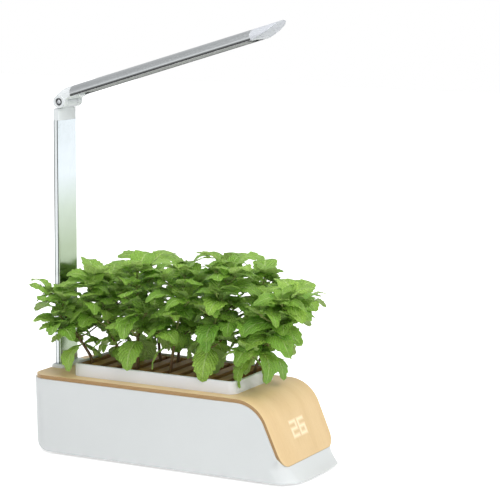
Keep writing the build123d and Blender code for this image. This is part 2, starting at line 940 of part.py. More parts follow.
# End cap with a rounded back and a hollowed, slanting end face
with BuildPart() as arm_end_cap:
    with BuildSketch(arm_plane(arm_end)):
        arm_profile(0)
    extrude(amount=cap_tip_u - arm_end + overrun)
    slant = degrees(atan2(arm_high - arm_low, cap_tip_u - cap_low_u))
    face_long = hypot(arm_high - arm_low, cap_tip_u - cap_low_u)
    scoop_r = face_long ** 2 / scoop_depth / 8
    with BuildSketch(arm_side_plane()):
        with BuildLine():
            low_point = (cap_low_u, arm_low)
            tip_point = (cap_tip_u, arm_high)
            RadiusArc(low_point, tip_point, scoop_r)
            Polyline(
                tip_point,
                (cap_tip_u, arm_high + overrun),
                (cap_tip_u + arm_high, arm_high + overrun),
                (cap_tip_u + arm_high, arm_low - overrun),
                (cap_low_u, arm_low - overrun),
                low_point,
            )
        make_face()
    extrude(amount=arm_half + overrun, both=True, mode=Mode.SUBTRACT)
    with BuildSketch(arm_plane(arm_end - cap_plug)):
        arm_profile(arm_skin + seat_gap / 2)
    extrude(amount=cap_plug)
    arm_screw_holes(arm_screw_long)

with BuildPart() as led_board:
    with BuildSketch(arm_plane(light_start)):
        with Locations((0, board_height + board_thick / 2)):
            Rectangle(board_half * 2, board_thick)
    extrude(amount=light_end - light_start)

with BuildPart() as leds:
    led_start = (light_start + light_end - chip_pitch * (chip_count - 1)) / 2
    with BuildSketch(arm_under_plane(board_height)):
        for step in range(chip_count):
            for side in (-1, 1):
                with Locations((led_start + step * chip_pitch, side * chip_row)):
                    Rectangle(chip, chip)
    extrude(amount=chip_thick)

with BuildPart() as diffuser:
    with BuildSketch(arm_plane(light_start)):
        with Locations((0, arm_low + (arm_skin + diffuser_sink) / 2)):
            Rectangle(window_half * 2 - seat_gap, arm_skin - diffuser_sink)
        with Locations((0, arm_low + arm_skin + flange_thick / 2)):
            Rectangle(flange_half * 2, flange_thick)
    extrude(amount=light_end - light_start)

with BuildPart() as arm_screws:
    for u in arm_screw_stations:
        for side in (-1, 1):
            under = arm_under_plane(arm_low)
            origin = under.from_local_coords((u, side * arm_screw_y, 0))
            plane = Plane(origin=origin, x_dir=under.x_dir, z_dir=-under.z_dir)
            screw(plane, arm_screw_head_r, arm_screw_head_h, arm_screw_r, arm_screw_long)

# Power inlet with a centre pin and a nut inside the wall
with BuildPart() as dc_inlet:
    inlet_x = rear_x + (rim_z - inlet_z - inlet_flange_r) * tan(radians(draft))
    inlet_plane = Plane(origin=(inlet_x, inlet_y, inlet_z), x_dir=(0, 1, 0), z_dir=(1, 0, 0))
    with BuildSketch(inlet_plane):
        Circle(inlet_flange_r)
    extrude(amount=-inlet_flange_h)
    chamfer(faces().sort_by(Axis.X)[0].edges(), length=inlet_flange_h / 4)
    with BuildSketch(inlet_plane):
        Circle(inlet_r)
    extrude(amount=inlet_long)
    with BuildSketch(inlet_plane.offset(-inlet_flange_h)):
        Circle(inlet_bore_r)
    extrude(amount=inlet_bore_long, mode=Mode.SUBTRACT)
    with BuildSketch(inlet_plane.offset(-inlet_flange_h / 2)):
        Circle(pin_r)
    extrude(amount=inlet_bore_long)
    with BuildSketch(inlet_plane.offset(wall + inlet_flange_h / 2)):
        RegularPolygon(inlet_flange_r, 6)
        Circle(inlet_r, mode=Mode.SUBTRACT)
    extrude(amount=inlet_flange_h)

# Two digit display glued behind the cover
with BuildPart() as display_module:
    with BuildSketch(nose_plane(cover_thick)):
        Rectangle(display_half * 2, display_up)
    extrude(amount=-display_deep)
    with BuildSketch(nose_plane(cover_thick)):
        for side in (-1, 1):
            with Locations((side * digit_row, 0)):
                Rectangle(digit_half * 2, digit_up)
    extrude(amount=-digit_deep, mode=Mode.SUBTRACT)

with BuildPart() as display_board:
    with BuildSketch(nose_plane(cover_thick + display_deep)):
        Rectangle(display_board_half * 2, display_board_up)
    extrude(amount=-board_thick)

# Control board on the posts of the base plate
board_low_z = plate_top_z + control_post_h
with BuildPart() as control_board:
    slab(
        control_x - control_long / 2,
        control_x + control_long / 2,
        control_half,
        board_low_z,
        board_low_z + board_thick,
        screw_r,
    )
    for x in control_xs:
        for side in (-1, 1):
            low = board_low_z - overrun
            post(x, side * control_y, low, board_low_z + overrun * 2, screw_r + seat_gap, Mode.SUBTRACT)
    for step in range(-1, 2):
        with BuildSketch(Plane.XY.offset(board_low_z + board_thick)):
            with Locations((control_x, step * part_block * 2)):
                Rectangle(part_block * (2 + step) / 2, part_block)
        extrude(amount=part_tall * (3 - step) / 3)

with BuildPart() as board_screws:
    for x in control_xs:
        for side in (-1, 1):
            head_z = board_low_z + board_thick + screw_head_h
            plane = Plane(origin=(x, side * control_y, head_z), x_dir=(1, 0, 0), z_dir=(0, 0, -1))
            long = control_screw_long + board_thick + screw_head_h
            screw(plane, screw_head_r, screw_head_h, screw_r, long)


def plant_line(number):
    """Root, knee and tip of the stem of one plant."""
    gap, root_y, tip_x, tip_y, tip_z = plant_shares[number]
    x = gap_start_x + gap * slat_pitch
    y = tub_half * root_y
    root = Vector(x, y, medium_top_z)
    knee = Vector(x, y, tray_top_z + stem_r)
    tip_height = medium_top_z + canopy_high * tip_z
    tip = Vector(canopy_half_long * tip_x, canopy_half_wide * tip_y, tip_height)
    return root, knee, tip


def stem_distance(point, number):
    """Distance from a point to the leaning part of the stem of one plant."""
    start, end = plant_line(number)[1:]
    run = end - start
    share = (point - start).dot(run) / run.dot(run)
    share = max(0, min(1, share))
    return (point - start - run * share).length


def heading(turn, pitch):
    """Unit vector along a turn and pitch angle."""
    flat = cos(radians(pitch))
    return Vector(cos(radians(turn)) * flat, sin(radians(turn)) * flat, sin(radians(pitch)))


def has_room(point, number):
    """True where a point lies in the room that one plant keeps to itself."""
    if abs(point.X) > spread_half_long + running_gap or abs(point.Y) > spread_half_wide + running_gap:
        return False
    own = stem_distance(point, number)
    others = [stem_distance(point, n) for n in range(len(plant_shares)) if n != number]
    if own + leaf_clear > min(others):
        return False
    if point.Z < tray_top_z + leaf_clear:
        return False
    by_mast = point.X < mast_front_x + mast_keepout
    return not (by_mast and abs(point.Y) < mast_half + mast_keepout)


def reach_inside(base, along):
    """Longest leaf from a base that ends inside the spread of the canopy."""
    reach = leaf_long
    limits = ((base.X, along.X, spread_half_long), (base.Y, along.Y, spread_half_wide))
    for place, slope, half in limits:
        if abs(place + slope * reach) > half:
            reach = min(reach, (half - abs(place)) / abs(slope))
    return reach


def blade_outline(long):
    """Corners of a flat leaf of a length that starts at the origin along x."""
    wide = long * leaf_width_share
    near_side = [(long * a, wide * b) for a, b in leaf_shares]
    far_side = [(long * a, -wide * b) for a, b in reversed(leaf_shares[:-1])]
    return near_side + far_side


def grow_leaf(number, base, turn, pitch, size):
    """Leaf as long as the room around its plant allows, or nothing."""
    along = heading(turn, pitch)
    plane = Plane(origin=base, x_dir=along, z_dir=heading(turn, pitch + 90))
    reach = reach_inside(base, along) * size
    for share in leaf_trial_shares:
        outline = blade_outline(reach * share)
        if all(has_room(plane.from_local_coords(corner), number) for corner in outline):
            with BuildSketch(plane) as leaf:
                Polygon((0, 0), *outline, align=None)
            return extrude(leaf.sketch, amount=leaf_thick, mode=Mode.PRIVATE)
    return None


def stalk(start, end, r):
    """Straight piece of stem between two points."""
    run = end - start
    with BuildSketch(Plane(origin=start, z_dir=run.normalized())) as ring:
        RegularPolygon(r, stem_sides)
    return extrude(ring.sketch, amount=run.length, mode=Mode.PRIVATE)


def leaf_pair(number, base, turn, pitch, size=1):
    """Two opposite leaves."""
    pair = [grow_leaf(number, base, turn + half_turn, pitch, size) for half_turn in (0, 180)]
    return [leaf for leaf in pair if leaf]


def plant(number):
    """Stem with leaf pairs, each turned a quarter from the last, and leafy side shoots."""
    root, knee, tip = plant_line(number)
    pieces = [stalk(root, knee, stem_r), stalk(knee, tip, stem_r)]
    run = tip - knee
    start_turn = number * golden_turn
    leafy = run.length * (1 - leaf_start_share)
    for step in range(int(leafy / leaf_step) + 1):
        base = tip - run.normalized() * (stem_r + step * leaf_step)
        pieces += leaf_pair(number, base, start_turn + step * 90, leaf_pitch - step * leaf_droop)
    for step in range(1, int(leafy / shoot_step) + 1):
        base = tip - run.normalized() * (step * shoot_step)
        turn = start_turn + step * golden_turn
        for half_turn in (0, 180):
            out = heading(turn + half_turn, shoot_pitch)
            if has_room(base + out * shoot_long, number):
                pieces.append(stalk(base, base + out * shoot_long, shoot_r))
                end = base + out * (shoot_long - shoot_r)
                pieces += leaf_pair(number, end, turn, leaf_pitch, shoot_leaf_share)
                pieces += leaf_pair(number, end, turn + 90, 0, shoot_leaf_share)
    return pieces


mint_plants = []
for number in range(len(plant_shares)):
    with BuildPart() as mint_plant:
        add(plant(number))
    mint_plants.append(mint_plant)

for label, solid in {
    "outer_shell": outer_shell,
    "wood_cover": wood_cover,
    "base_plate": base_plate,
    "base_screws": base_screws,
    "rubber_feet": rubber_feet,
    "water_tank": water_tank,
    "water_pump": water_pump,
    "float_stem": float_stem,
    "level_float": level_float,
    "planting_tray": planting_tray,
    "slat_grid": slat_grid,
    "growing_medium": growing_medium,
    "mast_collar": mast_collar,
    "mast_socket": mast_socket,
    "socket_screws": socket_screws,
    "mast_extrusion": mast_extrusion,
    "mast_face_plate": mast_face_plate,
    "lamp_cable": lamp_cable,
    "mast_cap": mast_cap,
    "arm_knuckle": arm_knuckle,
    "hinge_bolt": hinge_bolt,
    "hinge_nut": hinge_nut,
    "friction_washers": friction_washers,
    "arm_extrusion": arm_extrusion,
    "arm_end_cap": arm_end_cap,
    "led_board": led_board,
    "leds": leds,
    "diffuser": diffuser,
    "arm_screws": arm_screws,
    "dc_inlet": dc_inlet,
    "display_module": display_module,
    "display_board": display_board,
    "control_board": control_board,
    "board_screws": board_screws,
}.items():
    solid.part.label = label
    export_step(solid.part, f"parts/{label}.step")

for number, solid in enumerate(mint_plants, start=1):
    solid.part.label = f"mint_plant_{number:02d}"
    export_step(solid.part, f"parts/{solid.part.label}.step")
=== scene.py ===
"""Dressed indoor herb planter: finishes, mint foliage, display glow and studio."""
import logging
import math
import random
from dataclasses import dataclass, field
from enum import Enum
from typing import Iterable, Sequence

import bmesh
import bpy
from mathutils import Matrix, Vector, noise


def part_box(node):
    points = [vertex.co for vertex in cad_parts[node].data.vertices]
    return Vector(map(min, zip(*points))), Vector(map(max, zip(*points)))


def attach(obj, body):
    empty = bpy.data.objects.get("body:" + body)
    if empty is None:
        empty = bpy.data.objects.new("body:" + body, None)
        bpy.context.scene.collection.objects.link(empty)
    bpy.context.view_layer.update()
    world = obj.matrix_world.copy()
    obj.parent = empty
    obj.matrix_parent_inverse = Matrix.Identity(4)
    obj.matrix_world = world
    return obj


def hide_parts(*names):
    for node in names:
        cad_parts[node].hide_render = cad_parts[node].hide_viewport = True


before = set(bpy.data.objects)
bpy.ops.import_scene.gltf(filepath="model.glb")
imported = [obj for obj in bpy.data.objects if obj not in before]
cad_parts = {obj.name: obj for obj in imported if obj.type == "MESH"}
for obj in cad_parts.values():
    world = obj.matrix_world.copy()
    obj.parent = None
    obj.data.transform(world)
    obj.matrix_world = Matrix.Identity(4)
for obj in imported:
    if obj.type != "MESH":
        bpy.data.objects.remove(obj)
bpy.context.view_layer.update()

LOG = logging.getLogger("planter")
MM = 0.001
ARM_TURN = math.radians(16.6)
HINGE_X = -0.1657
HINGE_Z = 0.4143
NOSE_SLOPE = math.radians(66.1)
NOISE_LOW = 0.3
NOISE_HIGH = 0.7
BLACK = (0.0, 0.0, 0.0)
WHITE = (1.0, 1.0, 1.0)
EVEN = (1, 1, 1)
Colour = tuple[float, float, float]
Socket = bpy.types.NodeSocket
Feed = Socket | float | Colour


def srgb(red: int, green: int, blue: int) -> Colour:
    """Turn 8-bit display values into linear colour.

    Args:
        red: Red from 0 to 255.
        green: Green from 0 to 255.
        blue: Blue from 0 to 255.

    Returns:
        The colour in linear light.
    """
    def channel(value: int) -> float:
        """One channel by the display's transfer curve."""
        share = value / 255
        return share / 12.92 if share <= 0.04045 else ((share + 0.055) / 1.055) ** 2.4

    return channel(red), channel(green), channel(blue)


def dimmed(colour: Colour, factor: float) -> Colour:
    """Colour times a factor, at most full."""
    return tuple(min(1.0, channel * factor) for channel in colour)


class CellPart(Enum):
    """Part of a cell that a pattern measures its distance from."""

    MIDDLE = "F1"
    EDGE = "DISTANCE_TO_EDGE"


class Blend(Enum):
    """Ways to put one colour over another."""

    COVER = "MIX"
    TINT = "MULTIPLY"


class Grain(Enum):
    """Directions that wood fibres run in."""

    LENGTHWISE = "along X, following the bend of the nose"
    CROSSWISE = "along Y"


class Graph:
    """Small helper that wires the nodes of one material."""

    EDGE_SAMPLES = 4
    WORN_FROM = 0.995
    WORN_TO = 0.8

    def __init__(self, name: str) -> None:
        """Start a material with a principled shader.

        Args:
            name: Name of the material.
        """
        self.material = bpy.data.materials.new(name)
        self.material.use_nodes = True
        self.tree = self.material.node_tree
        self.tree.nodes.clear()
        self.output = self.add("OutputMaterial")
        self.shader = self.add("BsdfPrincipled")
        self.link(self.shader.outputs[0], self.output.inputs[0])
        self.point = self.add("TexCoord").outputs["Object"]

    def add(self, kind: str) -> bpy.types.Node:
        """New shader node of a kind."""
        return self.tree.nodes.new(f"ShaderNode{kind}")

    def link(self, source: Socket, target: Socket) -> None:
        """Join two sockets."""
        self.tree.links.new(source, target)

    def feed(self, socket: Socket, value: Feed) -> None:
        """Set a socket to a constant or join it to another socket.

        Args:
            socket: Input that is fed.
            value: Constant or output socket.
        """
        if isinstance(value, Socket):
            self.link(value, socket)
        elif isinstance(value, tuple) and len(value) == 3 and len(socket.default_value) == 4:
            socket.default_value = (*value, 1.0)
        else:
            socket.default_value = value

    def put(self, name: str, value: Feed) -> None:
        """Feed a named input of the principled shader."""
        self.feed(self.shader.inputs[name], value)

    def place(
        self, scale: Sequence[float], turn: Sequence[float] = (0, 0, 0), source: Socket | None = None
    ) -> Socket:
        """Scale and turn the coordinates that a pattern reads.

        Args:
            scale: Stretch of the pattern along each axis.
            turn: Rotation in radians.
            source: Vector socket to use in place of object coordinates.

        Returns:
            The vector socket.
        """
        node = self.add("Mapping")
        self.link(source or self.point, node.inputs[0])
        node.inputs["Scale"].default_value = scale
        node.inputs["Rotation"].default_value = turn
        return node.outputs[0]

    def noise(
        self, vector: Socket, scale: float, detail: float = 4.0, rough: float = 0.55, warp: float = 0.0
    ) -> Socket:
        """Add a noise texture.

        Args:
            vector: Coordinates.
            scale: Waves to a metre.
            detail: Number of finer layers.
            rough: Share that each finer layer keeps.
            warp: Distortion.

        Returns:
            The value socket.
        """
        node = self.add("TexNoise")
        self.link(vector, node.inputs["Vector"])
        node.inputs["Scale"].default_value = scale
        node.inputs["Detail"].default_value = detail
        node.inputs["Roughness"].default_value = rough
        node.inputs["Distortion"].default_value = warp
        return node.outputs[0]

    def cells(self, vector: Socket, scale: float, part: CellPart = CellPart.MIDDLE) -> Socket:
        """Add a Voronoi texture.

        Args:
            vector: Coordinates.
            scale: Cells to a metre.
            part: Part of the cell that the distance is measured from.

        Returns:
            The distance socket.
        """
        node = self.add("TexVoronoi")
        node.feature = part.value
        self.link(vector, node.inputs["Vector"])
        node.inputs["Scale"].default_value = scale
        return node.outputs["Distance"]

    def math(self, operation: str, first: Feed, second: Feed = 0.0) -> Socket:
        """Add one arithmetic step.

        Args:
            operation: Blender's name of the operation.
            first: First value.
            second: Second value.

        Returns:
            The result.
        """
        node = self.add("Math")
        node.operation = operation
        for socket, value in zip(node.inputs, (first, second)):
            self.feed(socket, value)
        return node.outputs[0]

    def product(self, first: Feed, second: Feed) -> Socket:
        """Product of two values."""
        return self.math("MULTIPLY", first, second)

    def total(self, first: Feed, second: Feed) -> Socket:
        """Sum of two values."""
        return self.math("ADD", first, second)

    def less(self, first: Feed, second: Feed) -> Socket:
        """First value less the second."""
        return self.math("SUBTRACT", first, second)

    def reach(self, first: Feed, second: Feed) -> Socket:
        """Length of the vector that two values make."""
        return self.math("SQRT", self.total(self.product(first, first), self.product(second, second)))

    def spread(self, value: Feed, low: float, high: float, start: float = 0.0, end: float = 1.0) -> Socket:
        """Map a value from one range to another, held at both ends.

        Args:
            value: Value to map.
            low: Value that gives start.
            high: Value that gives end.
            start: Result at low.
            end: Result at high.

        Returns:
            The result.
        """
        node = self.add("MapRange")
        for socket, item in zip(node.inputs[:5], (value, low, high, start, end)):
            self.feed(socket, item)
        return node.outputs[0]

    def vary(self, value: Feed, start: float = 0.0, end: float = 1.0) -> Socket:
        """Map the range that a noise mostly fills to start and end."""
        return self.spread(value, NOISE_LOW, NOISE_HIGH, start, end)

    def mix(self, share: Feed, first: Feed, second: Feed, blend: Blend = Blend.COVER) -> Socket:
        """Mix two colours.

        Args:
            share: Share of the second colour.
            first: First colour.
            second: Second colour.
            blend: Way in which the second lies over the first.

        Returns:
            The colour socket.
        """
        node = self.add("Mix")
        node.data_type = "RGBA"
        node.blend_type = blend.value
        self.feed(node.inputs[0], share)
        self.feed(node.inputs[6], first)
        self.feed(node.inputs[7], second)
        return node.outputs[2]

    def parts(self, vector: Socket) -> tuple[Socket, ...]:
        """Split a vector.

        Args:
            vector: Vector socket.

        Returns:
            Its three components.
        """
        node = self.add("SeparateXYZ")
        self.link(vector, node.inputs[0])
        return tuple(node.outputs)

    def join(self, first: Feed, second: Feed, third: Feed) -> Socket:
        """Make a vector of three values.

        Args:
            first: X of the vector.
            second: Y of the vector.
            third: Z of the vector.

        Returns:
            The vector socket.
        """
        node = self.add("CombineXYZ")
        for socket, value in zip(node.inputs, (first, second, third)):
            self.feed(socket, value)
        return node.outputs[0]

    def bump(self, height: Feed, distance: float, strength: float, normal: Socket | None = None) -> Socket:
        """Bend the normal by a height.

        Args:
            height: Height from 0 to 1.
            distance: Metres that a height of 1 stands for.
            strength: Strength of the effect.
            normal: Normal to start from.

        Returns:
            The normal socket.
        """
        node = self.add("Bump")
        node.inputs["Distance"].default_value = distance
        node.inputs["Strength"].default_value = strength
        self.feed(node.inputs["Height"], height)
        if normal is not None:
            self.link(normal, node.inputs["Normal"])
        return node.outputs[0]

    def round_edges(self, radius: float) -> Socket:
        """Soften the edges.

        Args:
            radius: Radius of the softened edge.

        Returns:
            The normal socket.
        """
        bevel = self.add("Bevel")
        bevel.samples = self.EDGE_SAMPLES
        bevel.inputs["Radius"].default_value = radius
        return bevel.outputs[0]

    def wear(self, radius: float) -> Socket:
        """Mark sharp edges.

        Args:
            radius: Width of the worn edge.

        Returns:
            The mask, 1 at a sharp edge.
        """
        dot = self.add("VectorMath")
        dot.operation = "DOT_PRODUCT"
        self.link(self.round_edges(radius), dot.inputs[0])
        self.link(self.add("NewGeometry").outputs["Normal"], dot.inputs[1])
        return self.spread(dot.outputs["Value"], self.WORN_FROM, self.WORN_TO)


@dataclass(frozen=True)
class Plastic:
    """Moulded plastic with fine grain, faint marks and softened edges."""

    name: str
    colour: Colour
    rough: float = 0.35
    grain: float = 900.0
    depth: float = 0.00003
    coat: float = 0.0
    edge: float = 0.0006
    tone: float = 0.06
    broad_scale: float = 9.0
    mark_scale: float = 60.0
    mark_stretch: tuple[float, float, float] = (1, 1, 6)
    worn_share: float = 0.35
    worn_rough: float = 0.1
    coat_rough: float = 0.12

    def build(self) -> bpy.types.Material:
        """Make the material.

        Returns:
            The finished material.
        """
        g = Graph(self.name)
        place = g.place(EVEN)
        broad = g.noise(place, self.broad_scale, 3.0)
        fine = g.noise(place, self.grain, 2.0)
        marks = g.noise(g.place(self.mark_stretch), self.mark_scale, 8.0, 0.7, 0.4)
        light = dimmed(self.colour, 1 + self.tone / 2)
        base = g.mix(g.spread(broad, 0.35, 0.65), dimmed(self.colour, 1 - self.tone), light)
        worn = g.product(g.wear(self.edge), g.spread(marks, 0.35, 0.6, 0.2, 0.8))
        g.put("Base Color", g.mix(g.product(worn, self.worn_share), base, light))
        rough = g.spread(marks, 0.3, 0.75, self.rough - 0.05, self.rough + 0.09)
        g.put("Roughness", g.total(rough, g.product(worn, self.worn_rough)))
        g.put("Coat Weight", self.coat)
        g.put("Coat Roughness", self.coat_rough)
        g.put("Normal", g.bump(fine, self.depth, 0.6, g.round_edges(self.edge)))
        return g.material


@dataclass(frozen=True)
class GrooveShade:
    """Painted shade in the grooves of the mast's narrow sides, and a darker rear edge, places in metres."""

    groove_from: float = 0.0179
    groove_to: float = 0.0186
    rear_from: float = -0.1728
    rear_to: float = -0.1724
    rear_light: float = 0.12
    dark: Colour = (0.04, 0.045, 0.045)

    def colour(self, g: Graph) -> Socket:
        """Colour that the metal's own is multiplied by.

        Args:
            g: Graph of the material.

        Returns:
            The colour socket.
        """
        # Painted shade: dark inside the grooves, and darker along the rear edge.
        x, y, _ = g.parts(g.point)
        depth = g.spread(g.math("ABSOLUTE", y), self.groove_from, self.groove_to)
        rear = g.spread(x, self.rear_from, self.rear_to, self.rear_light, 1.0)
        return g.mix(g.product(depth, rear), self.dark, WHITE)


@dataclass(frozen=True)
class SeamShade:
    """Painted shade on the seam and lower lip of the lamp arm, heights above its lower face in metres."""

    seam_from: float = 0.0046
    seam_to: float = 0.0056
    lip_from: float = 0.0032
    lip_to: float = 0.0042
    lip_light: float = 0.05
    seam_light: float = 0.2

    def colour(self, g: Graph) -> Socket:
        """Colour that the metal's own is multiplied by.

        Args:
            g: Graph of the material.

        Returns:
            The colour socket.
        """
        x, _, z = g.parts(g.point)
        rise = g.product(g.less(z, HINGE_Z), math.cos(ARM_TURN))
        high = g.less(rise, g.product(g.less(x, HINGE_X), math.sin(ARM_TURN)))
        # Painted shade: below the seam the arm is darkened, darkest on the lower lip.
        seam = g.spread(high, self.seam_from, self.seam_to)
        lip = g.spread(high, self.lip_from, self.lip_to, self.lip_light, self.seam_light)
        return g.mix(seam, g.mix(lip, BLACK, WHITE), WHITE)


@dataclass(frozen=True)
class Metal:
    """Drawn or polished metal with streaks along one axis, and painted shade where a shade mask is given."""

    name: str
    colour: Colour
    rough: float = 0.28
    stretch: tuple[float, float, float] = (1, 1, 0.01)
    turn: float = 0.0
    streaks: float = 0.12
    depth: float = 0.00002
    edge: float = 0.0004
    painted_shade: GrooveShade | SeamShade | None = None
    line_scale: float = 2600.0
    broad_scale: float = 14.0
    print_scale: float = 70.0
    worn: Colour = (0.9, 0.9, 0.9)
    worn_share: float = 0.5
    print_rough: float = 0.06
    broad_rough: float = 0.02

    def build(self) -> bpy.types.Material:
        """Make the material.

        Returns:
            The finished material.
        """
        g = Graph(self.name)
        lines = g.noise(g.place(self.stretch, (0, self.turn, 0)), self.line_scale, 4.0, 0.65)
        broad = g.noise(g.place(EVEN), self.broad_scale, 4.0)
        prints = g.noise(g.place(EVEN), self.print_scale, 7.0, 0.6, 0.8)
        base = g.mix(g.vary(lines), dimmed(self.colour, 1 - self.streaks), self.colour)
        base = g.mix(g.product(g.wear(self.edge), self.worn_share), base, self.worn)
        # Painted shade from a groove or seam mask darkens the colour.
        if self.painted_shade:
            base = g.mix(1.0, base, self.painted_shade.colour(g), Blend.TINT)
        g.put("Base Color", base)
        g.put("Metallic", 1.0)
        rough = g.vary(lines, self.rough - self.streaks / 3, self.rough + self.streaks / 3)
        rough = g.total(rough, g.spread(prints, 0.55, 0.8, 0.0, self.print_rough))
        g.put("Roughness", g.total(rough, g.vary(broad, -self.broad_rough, self.broad_rough)))
        g.put("Normal", g.bump(lines, self.depth, 0.5, g.round_edges(self.edge)))
        return g.material


@dataclass(frozen=True)
class PolishedStrip:
    """Polished strip with a painted reflection in its colour: pale like the sky above, greener towards the
    planting.
    """

    name: str
    # The three colours are a painted reflection: clear is the pale sky above, the middle one the green of the
    # leaves, deep the darker green at the foot.
    clear: Colour
    painted_leaf_reflection: Colour
    deep: Colour
    painted_sky_reflection_z: float = 0.33
    painted_leaf_reflection_z: float = 0.285
    painted_low_reflection_z: float = 0.24
    rough: float = 0.16
    drawn_stretch: tuple[float, float, float] = (1, 1, 0.02)
    drawn_scale: float = 1800.0
    drawn_depth: float = 0.000004
    print_scale: float = 55.0
    print_share: float = 0.12
    print_dim: float = 0.8
    print_rough: float = 0.08
    edge: float = 0.0003

    def build(self) -> bpy.types.Material:
        """Make the material.

        Returns:
            The finished material.
        """
        g = Graph(self.name)
        _, _, z = g.parts(g.point)
        drawn = g.noise(g.place(self.drawn_stretch), self.drawn_scale, 3.0)
        prints = g.noise(g.place(EVEN), self.print_scale, 7.0, 0.6, 0.8)
        # Painted reflection: the colour runs from the darker green at the foot through leaf green to the pale
        # sky colour at the top.
        tone = g.mix(g.spread(z, self.painted_low_reflection_z, self.painted_leaf_reflection_z), self.deep, self.painted_leaf_reflection)
        tone = g.mix(g.spread(z, self.painted_leaf_reflection_z, self.painted_sky_reflection_z), tone, self.clear)
        touched = g.spread(prints, 0.55, 0.8, 0.0, self.print_share)
        g.put("Base Color", g.mix(touched, tone, dimmed(self.painted_leaf_reflection, self.print_dim)))
        g.put("Metallic", 1.0)
        g.put("Roughness", g.spread(prints, 0.4, 0.8, self.rough, self.rough + self.print_rough))
        g.put("Normal", g.bump(drawn, self.drawn_depth, 0.3, g.round_edges(self.edge)))
        return g.material


@dataclass(frozen=True)
class BoltHead:
    """Blackened bolt with a bright, polished middle."""

    name: str
    bright: Colour
    dark: Colour
    x: float
    z: float
    radius: float
    fade_share: float = 0.9
    turned_scale: float = 9000.0
    scuff_scale: float = 420.0
    scuff_share: float = 0.4
    smooth: float = 0.25
    rough: float = 0.45
    depth: float = 0.00002
    edge: float = 0.0003

    def build(self) -> bpy.types.Material:
        """Make the material.

        Returns:
            The finished material.
        """
        g = Graph(self.name)
        x, _, z = g.parts(g.point)
        away = g.reach(g.less(x, self.x), g.less(z, self.z))
        middle = g.spread(away, self.radius * self.fade_share, self.radius, 1.0, 0.0)
        turned = g.noise(g.join(g.product(away, self.turned_scale), 0.0, 0.0), 1.0, 2.0)
        scuffs = g.noise(g.place(EVEN), self.scuff_scale, 6.0, 0.65, 0.5)
        colour = g.mix(middle, self.dark, self.bright)
        g.put("Base Color", g.mix(g.spread(scuffs, 0.45, 0.75, 0.0, self.scuff_share), colour, self.bright))
        g.put("Metallic", 1.0)
        g.put("Roughness", g.vary(turned, self.smooth, self.rough))
        g.put("Normal", g.bump(turned, self.depth, 0.5, g.round_edges(self.edge)))
        return g.material


@dataclass(frozen=True)
class DisplayGlow:
    """Two seven-segment digits, 26, that shine through the skin of the cover, in metres."""

    colour: Colour
    power: float
    glow_in_colour_share: float = 0.5
    centre_x: float = 0.14405
    centre_z: float = 0.054
    wide: float = 0.0122
    tall: float = 0.0168
    pitch: float = 0.0188
    stroke: float = 0.0030
    blur: float = 0.0017

    def mask(self, g: Graph) -> Socket:
        """Soft mask of the lit bars.

        Args:
            g: Graph of the cover's material.

        Returns:
            The value socket, 1 on a bar and 0 away from it.
        """
        x, y, z = g.parts(g.point)
        back = g.product(g.less(x, self.centre_x), -math.cos(NOSE_SLOPE))
        rise = g.product(g.less(z, self.centre_z), math.sin(NOSE_SLOPE))
        v = g.total(back, rise)
        half_wide, half_tall, half_pitch = self.wide / 2, self.tall / 2, self.pitch / 2
        both = g.math("ABSOLUTE", y)
        bars = [self._bar(g, both, v, half_pitch, level * half_tall, half_wide, 0.0) for level in (-1, 0, 1)]
        bars += [
            self._bar(g, y, v, half_wide - half_pitch, half_tall / 2, 0.0, half_tall / 2),
            self._bar(g, y, v, -half_wide - half_pitch, -half_tall / 2, 0.0, half_tall / 2),
            self._bar(g, y, v, half_pitch - half_wide, 0.0, 0.0, half_tall),
            self._bar(g, y, v, half_pitch + half_wide, -half_tall / 2, 0.0, half_tall / 2),
        ]
        near = bars[0]
        for bar in bars[1:]:
            near = g.math("MINIMUM", near, bar)
        return g.spread(near, self.stroke / 2 + self.blur, self.stroke / 2 - self.blur)

    @staticmethod
    def _bar(
        g: Graph, u: Socket, v: Socket, centre_u: float, centre_v: float, half_u: float, half_v: float
    ) -> Socket:
        """Distance from the centre line of one bar.

        Args:
            g: Graph of the cover's material.
            u: Place across the nose.
            v: Place up the nose.
            centre_u: Middle of the bar across the nose.
            centre_v: Middle of the bar up the nose.
            half_u: Half length of a level bar.
            half_v: Half length of an upright bar.

        Returns:
            The distance socket.
        """
        aside = g.less(g.math("ABSOLUTE", g.less(u, centre_u)), half_u)
        above = g.less(g.math("ABSOLUTE", g.less(v, centre_v)), half_v)
        return g.math("MAXIMUM", aside, above)


